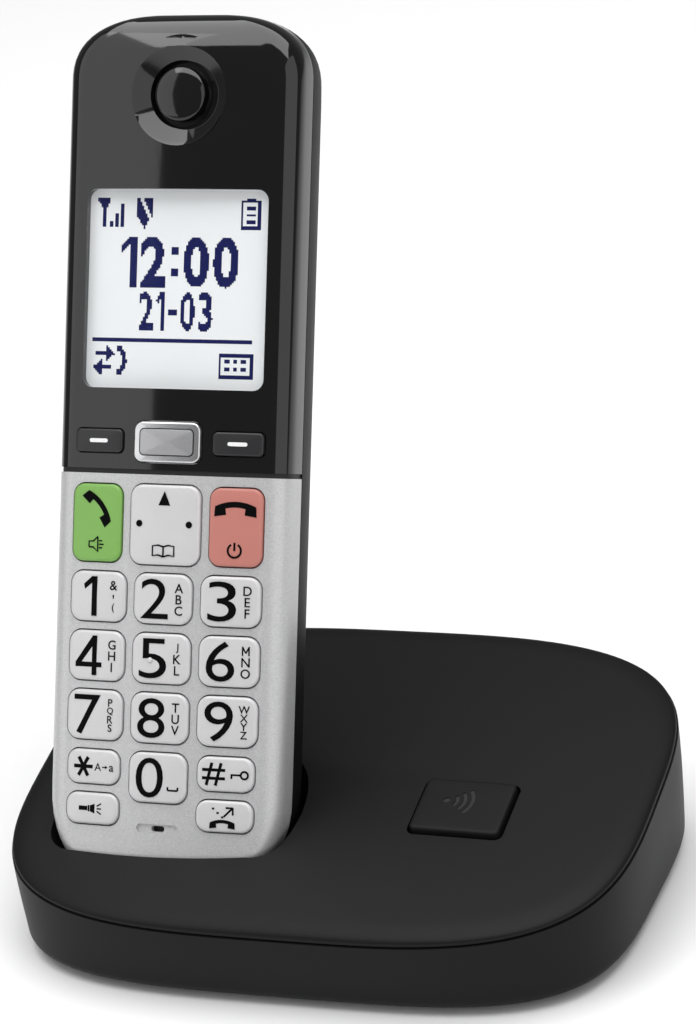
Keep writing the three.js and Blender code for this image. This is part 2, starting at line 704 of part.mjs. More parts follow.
for (const [side, name] of [
  [-1, "left"],
  [1, "right"],
]) {
  const x = (side * CELL_SPACING) / 2;
  const cellY = BAY_FLOOR + GAP + CELL_RADIUS;
  const cellLow = (BAY_BOTTOM + BAY_TOP - CELL_LENGTH) / 2;
  const cellTop = cellLow + CELL_LENGTH;
  const up = side;
  // A cell with its raised positive button; the two lie head to tail
  const can = barZ(CELL_RADIUS, CELL_RADIUS, x, cellY, cellLow + 0.8, cellTop - 0.8);
  const button = up > 0 ? [cellTop - 0.9, cellTop] : [cellLow, cellLow + 0.9];
  add(handset, `battery_${name}`, can.add(barZ(1.9, 1.9, x, cellY, ...button, 12)), cellGreen);

  // Its contacts: a plate at the button, and a coil spring at the other end
  const plateZ = up > 0 ? BAY_TOP - GAP - 0.5 : BAY_BOTTOM + GAP;
  const plate = box(x - 4, x + 4, BAY_FLOOR + GAP, BAY_FLOOR + 9, plateZ, plateZ + 0.5);
  add(handset, `battery_plate_${name}`, plate, metal);
  add(handset, `battery_spring_${name}`, coilSpring(x, cellY, up), metal);

  const [screwShaft, screwHead] = screwAt(side * SCREW_X, 0);
  add(handset, `handset_screw_${name}`, screwShaft.add(screwHead), metal);
  add(handset, `handset_contact_${name}`, contactPlates(0)[side > 0 ? 1 : 0], metal);
}

// A conical spring that stands on the bay's end wall
function coilSpring(x, y, up) {
  const wall = up > 0 ? BAY_BOTTOM + GAP : BAY_TOP - GAP;
  const free = (BAY_TOP - BAY_BOTTOM - CELL_LENGTH) / 2 + 0.8 - 2 * GAP;
  const [turns, wire] = [3, 0.3];
  class Coil extends THREE.Curve {
    getPoint(t, target = new THREE.Vector3()) {
      const a = 2 * Math.PI * turns * t;
      const r = 3.4 - 1.6 * t;
      const z = wall + up * (wire + (free - 2 * wire) * t);
      return target.set(x + r * Math.cos(a), y + r * Math.sin(a), z);
    }
  }
  const section = new THREE.Shape();
  section.absarc(0, 0, wire, 0, 2 * Math.PI);
  const g = new THREE.ExtrudeGeometry(section, {
    steps: 26,
    curveSegments: 4,
    extrudePath: new Coil(),
    bevelEnabled: false,
  });
  return solid(g);
}

const speakerBack = HANDSET_DEPTH - CASE_WALL - GAP;
add(handset, "loudspeaker", barY(10, 10, 0, 138.6, speakerBack - 5, speakerBack), metal);

// ---- Base housing and cover --------------------------------------------------------------------
// The handset's well: its body grown by the clearance, wider at the sides, and by "wall"
function well(wall) {
  const grow = HANDSET_LIFT_CLEARANCE + wall;
  const half = HANDSET_WIDTH / 2;
  const widen = (half + WELL_SIDE_GAP + wall) / (half + grow);
  const shape = geometryOf(handsetBody(grow)).scale(widen, 1, 1);
  return solid(shape.applyMatrix4(handsetFrame));
}

const sides = [-1, 1];
const baseScrews = Object.values(BASE_SCREWS);
const feetAt = sides.flatMap((y) => sides.map((x) => [x * FOOT_X, y * FOOT_Y]));

function screwHole(x, y) {
  const head = FOOT_HEIGHT + SCREW_HEAD_HEIGHT + 0.6;
  return [
    barZ(SCREW_HEAD_RADIUS + GAP, SCREW_HEAD_RADIUS + GAP, x, y, 0, head + GAP),
    barZ(SCREW_RADIUS + GAP, SCREW_RADIUS + GAP, x, y, 0, head + 20, 12),
  ];
}

function jackZones(grow) {
  const rear = BASE_HALF_DEPTH + 5;
  return [LINE_JACK, POWER_JACK].map(({ x, w, h }) => {
    const low = BASE_BOARD.bottom + BASE_BOARD.thickness + GAP;
    return box(
      x - w / 2 - grow,
      x + w / 2 + grow,
      JACK_FRONT_Y - grow,
      rear,
      low - grow,
      low + h + grow,
    );
  });
}

function lowerHousing() {
  const hull = housingBody(0, -SEAM_GAP / 2);
  const hollow = housingBody(BASE_WALL, 3);
  const posts = baseScrews.map(([x, y]) =>
    barZ(BOSS_RADIUS + 1, BOSS_RADIUS + 1, x, y, FOOT_HEIGHT + 0.5, 6.4),
  );
  const sockets = feetAt.map(([x, y]) =>
    barZ(FOOT_RADIUS + GAP, FOOT_RADIUS + GAP, x, y, 0, FOOT_HEIGHT + FOOT_SOCKET),
  );
  return cut(
    join(hull.subtract(hollow), ...posts),
    ...sockets,
    ...baseScrews.flatMap(([x, y]) => screwHole(x, y)),
    ...jackZones(GAP),
  );
}
add(base, "base_lower_housing", lowerHousing(), charcoal);

function coverShape({ x, y, w, d, r }, grow) {
  return roundedRectangle(w + 2 * grow, d + 2 * grow, r + grow, x, y);
}

const wellFloorGap = 0.4;
function topCover() {
  const body = coverBody(0, SEAM_GAP / 2);
  const hollow = coverBody(BASE_WALL, -6);
  const inside = housingBody(BASE_WALL + wellFloorGap, 3);
  const wellWall = well(BASE_WALL).intersect(body.add(inside));
  const bosses = baseScrews.map(([x, y]) =>
    barZ(BOSS_RADIUS, BOSS_RADIUS, x, y, 6.8, 50).intersect(body.add(inside)),
  );
  const locatorHole = placed(
    levelSlab(coverShape(LOCATOR, LOCATOR_CLEARANCE), -5, COVER_RIM + COVER_CROWN + 3),
    coverFrame,
  );
  const slots = sides.map((side) => {
    const x = side * CONTACT_X;
    const slot = box(
      x - CONTACT_WIDTH / 2 - 2 * GAP,
      x + CONTACT_WIDTH / 2 + 2 * GAP,
      CONTACT_DEPTH - CONTACT_LENGTH / 2 - 2 * GAP,
      CONTACT_DEPTH + CONTACT_LENGTH / 2 + 2 * GAP,
      -BASE_WALL - HANDSET_LIFT_CLEARANCE - 2,
      1,
    );
    return placed(slot, handsetFrame);
  });
  const screws = baseScrews.map(([x, y]) =>
    barZ(SCREW_RADIUS + GAP, SCREW_RADIUS + GAP, x, y, 5, 15, 12),
  );
  return cut(
    join(body.subtract(hollow), wellWall, ...bosses),
    well(0),
    locatorHole,
    ...slots,
    ...screws,
  );
}
add(base, "base_top_cover", topCover(), charcoal);

feetAt.forEach(([x, y]) => {
  const name = `foot_${y < 0 ? "front" : "rear"}_${x < 0 ? "left" : "right"}`;
  const top = FOOT_HEIGHT + FOOT_SOCKET - GAP;
  add(base, name, barZ(FOOT_RADIUS - 0.5, FOOT_RADIUS, x, y, 0, top, 24), rubber);
});

for (const [side, name] of [
  [-1, "left"],
  [1, "right"],
]) {
  const [x, y] = BASE_SCREWS[name];
  const head = FOOT_HEIGHT + 0.6;
  const shaft = barZ(SCREW_RADIUS, SCREW_RADIUS, x, y, head + 0.5, 14, 10);
  const top = head + SCREW_HEAD_HEIGHT;
  const cap = barZ(SCREW_HEAD_RADIUS, SCREW_HEAD_RADIUS, x, y, head, top, 14);
  add(base, `base_screw_${name}`, shaft.add(cap), metal);

  // Spring strip that rises through the well's floor to meet the handset's contact
  const strip = box(
    side * CONTACT_X - CONTACT_WIDTH / 2,
    side * CONTACT_X + CONTACT_WIDTH / 2,
    CONTACT_DEPTH - CONTACT_LENGTH / 2,
    CONTACT_DEPTH + CONTACT_LENGTH / 2,
    -HANDSET_LIFT_CLEARANCE - BASE_WALL + 0.4,
    -GAP,
  );
  add(base, `base_contact_${name}`, placed(strip, handsetFrame), metal);
}

// ---- Locator button ----------------------------------------------------------------------------
const locatorTop = crownHeight(LOCATOR.x, LOCATOR.y) + LOCATOR_PROUD;
const locatorUnder = crownHeight(LOCATOR.x, LOCATOR.y) - LOCATOR_SKIRT;
function locatorButton() {
  const cap = levelSlab(coverShape(LOCATOR, 0), locatorUnder, locatorTop);
  const flange = levelSlab(
    coverShape(LOCATOR, LOCATOR_FLANGE),
    locatorUnder,
    locatorUnder + 1,
  );
  return placed(cap.add(flange), coverFrame);
}
add(base, "locator_button", locatorButton(), charcoal);

function locatorSwitch() {
  const centre = new THREE.Vector3(LOCATOR.x, LOCATOR.y, 0).applyMatrix4(coverFrame);
  const boardTop = BASE_BOARD.bottom + BASE_BOARD.thickness;
  const under = new THREE.Vector3(LOCATOR.x, LOCATOR.y, locatorUnder).applyMatrix4(coverFrame).z;
  const top = under - LOCATOR_TRAVEL - 3 * GAP;
  const half = 3;
  return join(
    box(
      centre.x - half,
      centre.x + half,
      centre.y - half,
      centre.y + half,
      boardTop + GAP,
      top - 1.5,
    ),
    barZ(1.6, 1.6, centre.x, centre.y, top - 1.6, top, 12),
  );
}
add(base, "locator_switch", locatorSwitch(), metal);

// ---- Base board, sockets and aerial ------------------------------------------------------------
const { x: boardX, y: boardY, w: boardW, d: boardD, bottom: boardZ } = BASE_BOARD;
add(
  base,
  "base_circuit_board",
  box(
    boardX - boardW / 2,
    boardX + boardW / 2,
    boardY - boardD / 2,
    boardY + boardD / 2,
    boardZ,
    boardZ + BASE_BOARD.thickness,
  ),
  boardGreen,
);
const boardTop = boardZ + BASE_BOARD.thickness;

const jackTrim = housingBody(0.6, 0);
const [lineZone, powerZone] = jackZones(0).map((zone) => zone.intersect(jackTrim));
const jackLow = boardTop + GAP;
const rearEdge = BASE_HALF_DEPTH + 5;
const lineMouth = box(
  LINE_JACK.x - LINE_JACK.openW / 2,
  LINE_JACK.x + LINE_JACK.openW / 2,
  JACK_FRONT_Y + LINE_JACK.h - LINE_JACK.openDepth + 2,
  rearEdge,
  jackLow + (LINE_JACK.h - LINE_JACK.openH) / 2,
  jackLow + (LINE_JACK.h + LINE_JACK.openH) / 2,
);
add(base, "line_socket", lineZone.subtract(lineMouth), socketBlack);

const powerMid = jackLow + POWER_JACK.h / 2;
const powerHole = barY(
  POWER_JACK.holeRadius,
  POWER_JACK.holeRadius,
  POWER_JACK.x,
  powerMid,
  JACK_FRONT_Y + 3,
  rearEdge,
  18,
);
const powerPin = barY(
  POWER_JACK.pinRadius,
  POWER_JACK.pinRadius,
  POWER_JACK.x,
  powerMid,
  JACK_FRONT_Y + 2.5,
  JACK_FRONT_Y + POWER_JACK.holeDepth,
  10,
);
add(base, "power_socket", powerZone.subtract(powerHole).add(powerPin), socketBlack);

const aerial = join(
  box(boardX - 24, boardX - 23.4, boardY - 18, boardY + 14, boardTop + GAP, boardTop + 6),
  box(boardX - 24, boardX - 18, boardY - 18, boardY + 14, boardTop + 5.4, boardTop + 6),
);
add(base, "base_aerial", aerial, metal);

// ---- The origin: under the middle of the whole phone, on the table -----------------------------
const extent = new THREE.Box3().setFromObject(phone, true);
const middle = extent.getCenter(new THREE.Vector3());
phone.position.set(-middle.x, -middle.y, -extent.min.z);

export default phone;
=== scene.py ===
import math

import bmesh
import bpy
from mathutils import Matrix, Vector
from mathutils.bvhtree import BVHTree


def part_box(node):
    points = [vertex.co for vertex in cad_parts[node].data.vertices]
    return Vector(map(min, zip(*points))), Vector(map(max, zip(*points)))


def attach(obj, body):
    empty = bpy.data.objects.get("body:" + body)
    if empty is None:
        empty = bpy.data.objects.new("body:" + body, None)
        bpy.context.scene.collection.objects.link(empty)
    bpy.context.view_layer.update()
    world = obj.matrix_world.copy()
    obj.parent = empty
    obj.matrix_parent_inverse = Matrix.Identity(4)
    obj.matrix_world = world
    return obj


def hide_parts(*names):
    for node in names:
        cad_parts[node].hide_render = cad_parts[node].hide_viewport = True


bl_info = {
    "name": "Cordless Phone and Charging Base",
    "version": (1, 0, 0),
    "blender": (4, 5, 0),
    "location": "View3D > Sidebar > Phone",
    "description": "Builds a cordless handset, its keys and display, and its charging base",
    "category": "Object",
}

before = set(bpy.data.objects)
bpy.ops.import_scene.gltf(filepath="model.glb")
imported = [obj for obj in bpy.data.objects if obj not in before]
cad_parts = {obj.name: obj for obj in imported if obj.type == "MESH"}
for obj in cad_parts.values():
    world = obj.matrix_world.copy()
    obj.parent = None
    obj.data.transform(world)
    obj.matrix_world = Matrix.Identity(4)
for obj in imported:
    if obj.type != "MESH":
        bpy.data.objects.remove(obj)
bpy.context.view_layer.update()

# ---- Places and sizes, in millimetres ------------------------------------------------------------
MM = 0.001
GAP = 0.3  # between two parts
SEAM = 0.15  # half the line between two cases

# Base: its own frame stands on the table under the middle of its feet
FEET = [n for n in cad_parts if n.startswith("foot_")]
CENTRE = sum((sum(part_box(n), Vector()) / 2 for n in FEET), Vector()) / len(FEET) / MM
SEAM_HEIGHT = 25.0
BASE_SLOPE = math.radians(9.7)
BASE_HALF_WIDTH, BASE_HALF_DEPTH = 68.0, 48.5
BASE_WALL = 2.0
HOUSING_FLOOR, HOUSING_FILLET, HOUSING_DRAFT, HOUSING_SIDE_DRAFT = 1.3, 3.0, 1.2, 0.6
COVER_HALF_DEPTH = BASE_HALF_DEPTH / math.cos(BASE_SLOPE)
COVER_LIP, COVER_RIM, COVER_EDGE, COVER_SETBACK, COVER_CROWN = 0.7, 2.2, 4.6, 0.3, 1.3
FOOT_X, FOOT_Y, FOOT_HOLE_RADIUS = 47.5, 34.5, 4.8
SOCKETS, SOCKET_FLOOR = ((24, 13, 11), (45, 9, 9)), 9.9  # each one's middle, width, height
LOCATOR_X, LOCATOR_Y, LOCATOR_W, LOCATOR_D = 30.0, -10.0, 19.2, 15.5
LOCATOR_PROUD = 1.2

# Handset: X across, Y back from its face, Z along it
LEAN = math.radians(26.8)
HANDSET_HALF, HANDSET_LENGTH, HANDSET_DEPTH = 25.8, 180.6, 26.0
CASE_WALL, CASE_SEAM, CASE_SIDE = 1.8, 9.8, 40
CROWN_RADIUS = 161.0
PANEL_SEAM = 86.0
WELL_GAP, WELL_SIDE_GAP = 0.7, 1.6
CONTACT_X, CONTACT_HALF, CONTACT_FRONT, CONTACT_BACK = 9, 1.8, 8.2, 13.8
LID_Z, LID_SIZE = 75.5, (32.4, 64.4, 2.7)
SHELF_BACK, SHELF_WALL = HANDSET_DEPTH - CASE_WALL - GAP, 1.8
BAY_HALF, BAY_FRONT, BAY_Z, BAY_WALL = 12.2, 13.1, (47, 99), 1.2
SHELF_HALF, SHELF_Z = 19.5, (40, 111)
SCREW_X, SCREW_Z, SCREW_SINK_RADIUS, SCREW_SINK_FRONT = 15, 104, 2.3, 18
SOUND_SLOTS_Z, THUMB_RIBS_Z = 132.6, 92
TORCH_DEPTH, TORCH_RADIUS = 14, 2.9
CELL_X, CELL_DEPTH = 5.8, 18.65

TO_METRES = Matrix.Scale(MM, 4)
BASE = TO_METRES @ Matrix.Translation((CENTRE.x, CENTRE.y, 0))
COVER = BASE @ Matrix.Translation((0, 0, SEAM_HEIGHT)) @ Matrix.Rotation(BASE_SLOPE, 4, "X")
HANDSET = BASE @ Matrix.Translation((-31.0, -33.0, 15.3)) @ Matrix.Rotation(-LEAN, 4, "X")

# Keys: each one's place across and along, and its (width, height, corner)
COLUMN, ROW, MIDDLE = 14.7, 12.19, 48.5
CALL_X, CALL_Z, SOFT_Z = 15.4, MIDDLE + 27.3, MIDDLE + 44.2
SHORT_Z, LOW_Z = MIDDLE - 22.9, MIDDLE - 31.5
DIGIT, SHORT, LOW = (12.7, 10.2, 2.6), (12.0, 7.0, 2.4), (12.0, 6.4, 2.4)
CALL, NAV = (11.2, 15.9, 2.4), (15.4, 16.3, 2.6)
SOFT, SILVER = (10.7, 4.7, 1.0), (14.6, 8.2, 1.8)
KEYS = {
    f"key_{n}": (((n - 1) % 3 - 1) * COLUMN, MIDDLE + (1 - (n - 1) // 3) * ROW, DIGIT)
    for n in range(1, 10)
}
KEYS |= {
    "key_0": (0, MIDDLE - 2 * ROW, DIGIT),
    "key_star": (-COLUMN, SHORT_Z, SHORT),
    "key_hash": (COLUMN, SHORT_Z, SHORT),
    "key_torch": (-COLUMN, LOW_Z, LOW),
    "key_redial": (COLUMN, LOW_Z, LOW),
    "key_talk": (-CALL_X, CALL_Z, CALL),
    "key_hang_up": (CALL_X, CALL_Z, CALL),
    "navigator_key": (0, CALL_Z, NAV),
    "soft_key_left": (-CALL_X, SOFT_Z, SOFT),
    "soft_key_right": (CALL_X, SOFT_Z, SOFT),
    "centre_key": (0, SOFT_Z, SILVER),
}
KEY_PROUD, KEY_DOME = 0.8, 0.1
KEY_FLANGE, KEY_FLANGE_DEPTH, KEY_FLANGE_WALL = 0.8, 2.25, 0.4
DEEPER_FLANGES = {"navigator_key": 0.6, "key_torch": 0.45, "key_redial": 0.45}

WINDOW_Z, WINDOW_W, WINDOW_H, WINDOW_CORNER = MIDDLE + 75.5, 39.6, 40.2, 2.0
DISPLAY_FRONT, DISPLAY_BACK, DISPLAY_SIZE = 3.2, 6.0, (43, 44, 0.6)
EAR_Z, MIC_Z = MIDDLE + 115.3, MIDDLE - 34.9


# ---- Shader graphs as expressions ----------------------------------------------------------------
class Val:
    """A socket that arithmetic can be done on; each operation adds a Math node."""

    def __init__(self, tree, socket):
        self.tree, self.socket = tree, socket

    def math(self, operation, *others, clamp=False):
        n = self.tree.nodes.new("ShaderNodeMath")
        n.operation, n.use_clamp = operation, clamp
        for slot, v in zip(n.inputs, (self, *others)):
            if isinstance(v, Val):
                self.tree.links.new(v.socket, slot)
            else:
                slot.default_value = v
        return Val(self.tree, n.outputs[0])

    def __add__(self, other):
        return self.math("ADD", other)

    def __mul__(self, other):
        return self.math("MULTIPLY", other)

    def above(self, edge, soft):
        """0 below the edge, 1 above it, with a ramp of the given width."""
        return ((self + (soft / 2 - edge)) * (1 / soft)).math("ADD", 0.0, clamp=True)


class Finish:
    """A material whose nodes are written as expressions on Object coordinates, in millimetres."""

    def __init__(self, name):
        self.material = bpy.data.materials.new(name)
        self.material.use_nodes = True
        self.tree = self.material.node_tree
        self.shader = self.tree.nodes["Principled BSDF"]
        coords = self.node("ShaderNodeTexCoord", "Object")
        self.place = self.node("ShaderNodeMapping", Vector=coords, Scale=(1 / MM,) * 3)

    def node(self, kind, output=0, **values):
        """Adds a node; a value named i3 goes to the input numbered 3."""
        n = self.tree.nodes.new(kind)
        if kind == "ShaderNodeMix":
            n.data_type = "RGBA"
        for key, v in values.items():
            slot = n.inputs[int(key[1:]) if key[1:].isdigit() else key]
            if isinstance(v, Val):
                self.tree.links.new(v.socket, slot)
            else:
                slot.default_value = v
        return Val(self.tree, n.outputs[output])

    def noise(self, size, detail=2.0):
        """Noise of about that grain size in millimetres, from 0 to 1."""
        return self.node(
            "ShaderNodeTexNoise", "Fac", Vector=self.place, Scale=1 / size, Detail=detail
        )

    def mix(self, factor, a, b):
        """Colour a where factor is 0 and b where it is 1."""
        a, b = ((*c, 1) if isinstance(c, tuple) else c for c in (a, b))
        return self.node("ShaderNodeMix", 2, i0=factor, i6=a, i7=b)

    def bump(self, height, strength, distance):
        return self.node(
            "ShaderNodeBump", Height=height, Strength=strength, Distance=distance * MM
        )

    def set(self, **values):
        for key, v in values.items():
            slot = self.shader.inputs[key.replace("_", " ")]
            if isinstance(v, Val):
                self.tree.links.new(v.socket, slot)
            else:
                slot.default_value = (*v, 1) if isinstance(v, tuple) else v
        return self.material


def rgb(r, g, b):
    """An sRGB colour, each part from 0 to 255, as linear light."""
    parts = (c / 255 for c in (r, g, b))
    return tuple(c / 12.92 if c <= 0.04045 else ((c + 0.055) / 1.055) ** 2.4 for c in parts)


def shade(colour, share):
    return tuple(min(1, share * c) for c in colour)


FINISHES = {}


def finish_of(make):
    """The material that a function makes, made once."""
    if make not in FINISHES:
        FINISHES[make] = make()
    return FINISHES[make]


# ---- Finishes ------------------------------------------------------------------------------------
def moulded_black():
    f, look = Finish("moulded_black"), bpy.context.scene.phone_base
    grain, cloud = f.noise(0.22, 3.0), f.noise(14.0)
    mottle = grain * 0.6 + cloud * 0.4
    return f.set(
        Base_Color=f.mix(mottle, shade(look.colour, 0.82), shade(look.colour, 1.25)),
        Roughness=grain * 0.1 + cloud * 0.06 + look.roughness,
        Specular_IOR_Level=0.16,
        Normal=f.bump(grain, 0.16, 0.06),
    )


def polished_black():
    f, look = Finish("polished_black"), bpy.context.scene.phone_handset
    smear, dust = f.noise(9.0, 3.0), f.noise(0.5, 2.0)
    return f.set(
        Base_Color=f.mix(smear, tuple(look.bezel_colour), shade(look.bezel_colour, 1.3)),
        Roughness=smear * 0.03 + dust * 0.015 + 0.05,
        Specular_IOR_Level=0.5,
        Coat_Weight=0.3,
        Coat_Roughness=0.04,
    )


def silver_paint():
    f, look = Finish("silver_paint"), bpy.context.scene.phone_handset
    flake = f.node("ShaderNodeTexVoronoi", "Color", Vector=f.place, Scale=1 / 0.16, Randomness=1.0)
    sparkle = f.node("ShaderNodeSeparateColor", Color=flake)
    grain = f.noise(0.12, 2.0)
    fleck = sparkle * 0.55 + grain * 0.45
    return f.set(
        Base_Color=f.mix(fleck, shade(look.case_colour, 0.78), shade(look.case_colour, 1.18)),
        Metallic=0.35,
        Roughness=fleck * 0.12 + 0.33,
        Normal=f.bump(grain, 0.08, 0.03),
    )


def keycap(name, colour, metallic=0.0):
    f = Finish(name)
    grain, cloud = f.noise(0.3, 2.0), f.noise(6.0)
    mottle = grain * 0.5 + cloud * 0.5
    return f.set(
        Base_Color=f.mix(mottle, shade(colour, 0.92), shade(colour, 1.06)),
        Metallic=metallic,
        Roughness=grain * 0.1 + 0.36,
        Normal=f.bump(grain, 0.05, 0.03),
    )


def silver_keycap():
    return keycap("silver_keycap", bpy.context.scene.phone_keys.number_colour, 0.15)


def green_keycap():
    return keycap("green_keycap", bpy.context.scene.phone_keys.talk_colour)


def red_keycap():
    return keycap("red_keycap", bpy.context.scene.phone_keys.hang_up_colour)


def soft_black_keycap():
    return keycap("soft_black_keycap", rgb(34, 34, 36))


def display_ink():
    f, look = Finish("display_ink"), bpy.context.scene.phone_display
    ink = f.mix(f.noise(0.4), tuple(look.ink_colour), shade(look.ink_colour, 1.1))
    return f.set(Base_Color=ink, Roughness=0.6, Specular_IOR_Level=0.1)


def display_white():
    f, look = Finish("display_white"), bpy.context.scene.phone_display
    # The display's white also glows: a painted glow that stands in for the light falling on it
    # through its window.
    white_and_glow = f.mix(f.noise(0.4, 1.0), shade(look.lit_colour, 0.985), tuple(look.lit_colour))
    return f.set(Base_Color=white_and_glow, Emission_Color=white_and_glow, Emission_Strength=look.glow, Roughness=0.6)


def clear_plastic():
    f = Finish("clear_plastic")
    smear = f.noise(8.0)
    return f.set(
        Base_Color=(0.02, 0.02, 0.02), Roughness=smear * 0.03 + 0.03, Alpha=smear * 0.01 + 0.04
    )


def circuit_board():
    f = Finish("circuit_board")
    tracks = f.noise(1.6, 0.0).above(0.52, 0.02)
    return f.set(
        Base_Color=f.mix(tracks, rgb(22, 74, 44), rgb(34, 104, 60)),
        Roughness=f.noise(0.3) * 0.1 + 0.35,
        Normal=f.bump(tracks, 0.4, 0.05),
    )


def cell_sleeve():
    f = Finish("cell_sleeve")
    scuff = f.noise(1.5, 3.0)
    height = f.node("ShaderNodeSeparateXYZ", "Z", Vector=f.place)
    band = height.math("PINGPONG", 14.0).above(11.0, 0.2)
    sleeve = f.mix(scuff, rgb(44, 110, 52), rgb(58, 128, 64))
    return f.set(Base_Color=f.mix(band, sleeve, rgb(190, 192, 190)), Roughness=scuff * 0.1 + 0.25)


def grainy(name, low, high, fine, matt, coarse=None, detail=2.0, bump=None, **constants):
    """A colour between low and high by a coarse grain, with a fine grain in the roughness.

    The roughness is matt[1] and up to matt[0] more; bump is its strength and depth.
    """
    f = Finish(name)
    grain = f.noise(fine, detail)
    mottle = f.noise(coarse) if coarse else grain
    if bump:
        constants["Normal"] = f.bump(grain, *bump)
    colour = f.mix(mottle, low, high)
    return f.set(Base_Color=colour, Roughness=grain * matt[0] + matt[1], **constants)


def bright_plating():
    low, high = rgb(205, 205, 207), rgb(228, 228, 230)
    return grainy("bright_plating", low, high, 0.15, (0.08, 0.14), 3.0, Metallic=0.9)


def brushed_centre():
    low, high, bump = rgb(150, 150, 152), rgb(196, 196, 198), (0.06, 0.03)
    return grainy("brushed_centre", low, high, 0.18, (0.12, 0.3), bump=bump, Metallic=0.6)


def printed(name, colour):
    high = tuple(1.2 * c + 0.001 for c in colour)
    return grainy(name, colour, high, 0.25, (0.1, 0.5), Specular_IOR_Level=0.06)


def black_print():
    return printed("black_print", rgb(3, 3, 4))


def white_print():
    return printed("white_print", rgb(225, 225, 225))


def deep_black():
    return grainy("deep_black", rgb(9, 9, 10), rgb(16, 16, 17), 0.3, (0.15, 0.5))


def soft_rubber():
    low, high, bump = rgb(22, 22, 22), rgb(38, 38, 38), (0.3, 0.08)
    return grainy("soft_rubber", low, high, 0.35, (0.15, 0.75), 4.0, 3.0, bump)


def silicone_mat():
    low, high = rgb(130, 133, 138), rgb(150, 152, 158)
    return grainy("silicone_mat", low, high, 0.6, (0.15, 0.65), detail=3.0)


def spring_metal():
    low, high = rgb(176, 174, 166), rgb(206, 204, 198)
    return grainy("spring_metal", low, high, 0.2, (0.14, 0.22), 2.5, Metallic=1.0)


# ---- Solids, in a local frame in millimetres -----------------------------------------------------
def linked(name, data):
    """A new object with that data, in the scene."""
    obj = bpy.data.objects.new(name, data)
    bpy.context.scene.collection.objects.link(obj)
    return obj


def mesh_object(name, points, faces):
    mesh = bpy.data.meshes.new(name)
    mesh.from_pydata(points, [], faces)
    mesh.update()
    return linked(name, mesh)


def loft(name, rings):
    """A closed skin over rings of equal length, with a fan at each end."""
    count = len(rings[0])
    points = [Vector(p) for ring in rings for p in ring]
    points += [sum((Vector(p) for p in ring), Vector()) / count for ring in (rings[0], rings[-1])]
    low, high, last = len(points) - 2, len(points) - 1, (len(rings) - 1) * count
    faces = []
    for i in range(count):
        j = (i + 1) % count
        faces += [(low, j, i), (high, last + i, last + j)]
        faces += [(k + i, k + j, k + count + j, k + count + i) for k in range(0, last, count)]
    obj = mesh_object(name, points, faces)
    bm = bmesh.new()
    bm.from_mesh(obj.data)
    bmesh.ops.recalc_face_normals(bm, faces=bm.faces)
    bm.to_mesh(obj.data)
    bm.free()
    return obj


def pillar(name, outline, z0, z1):
    """An outline in X and Y, from z0 up to z1."""
    return loft(name, [[(x, y, z) for x, y in outline] for z in (z0, z1)])


def block(name, x0, x1, y0, y1, z0, z1):
    return pillar(name, [(x0, y0), (x1, y0), (x1, y1), (x0, y1)], z0, z1)


def plain_mesh(obj):
    """Replaces the object's mesh by its evaluated one and drops its modifiers."""
    bpy.context.view_layer.update()
    evaluated = obj.evaluated_get(bpy.context.evaluated_depsgraph_get())
    made = bpy.data.meshes.new_from_object(evaluated)
    obj.modifiers.clear()
    obj.data = made
    return obj


def combine(obj, operation, *others):
    """Boolean of obj with each of the others, which are used up."""
    for other in others:
        m = obj.modifiers.new("join", "BOOLEAN")
        m.operation, m.solver, m.object = operation, "MANIFOLD", other
        plain_mesh(obj)
        bpy.data.objects.remove(other)
    return obj


def cut(obj, *others):
    return combine(obj, "DIFFERENCE", *others)


def dress(obj, make, body, slot, replaced=(), place=HANDSET, bevel=0.0, angle=35.0):
    """Puts a finished piece in its place, rounds its edges, and hands it to its body."""
    obj.data.transform(place)
    obj.data.materials.clear()
    obj.data.materials.append(finish_of(make))
    obj.data.shade_smooth()
    obj.data.set_sharp_from_angle(angle=math.radians(angle))
    if bevel:
        m = obj.modifiers.new("edges", "BEVEL")
        m.width, m.segments, m.limit_method = bevel * MM, 3, "ANGLE"
        m.angle_limit, m.use_clamp_overlap = math.radians(angle), True
        m.harden_normals = True
    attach(obj, body)
    if replaced:
        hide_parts(*replaced)


def circle(radius, x, y, sides=48):
    turn = [2 * math.pi * i / sides for i in range(sides)]
    return [(x + radius * math.cos(a), y + radius * math.sin(a)) for a in turn]


def rounded_rectangle(w, h, r, cx=0.0, cz=0.0, steps=8):
    r = max(0.05, min(r, w / 2 - 0.01, h / 2 - 0.01))
    across, up = w / 2 - r, h / 2 - r
    points = []
    for n, (sx, sz) in enumerate(((1, 1), (-1, 1), (-1, -1), (1, -1))):
        for i in range(steps + 1):
            a = (n + i / steps) * math.pi / 2
            points.append((cx + sx * across + r * math.cos(a), cz + sz * up + r * math.sin(a)))
    return points


def face_slab(name, outline, y0, y1):
    """An outline in X and Z, as thick as y0 to y1."""
    return loft(name, [[(x, y, z) for x, z in outline] for y in (y1, y0)])


def turned_y(name, profile, x, z, sides=48):
    """A round piece about a line along Y: profile is a list of (radius, y)."""
    return loft(name, [[(p, y, q) for p, q in circle(r, x, z, sides)] for r, y in profile])


def crown(x):
    return x * x / (2 * CROWN_RADIUS)


def round_down(t, power=2.0):
    """0 at t = 0 and 1 at t = 1, along a rounded shoulder."""
    return 1 - (1 - min(1.0, max(0.0, t)) ** power) ** (1 / power)


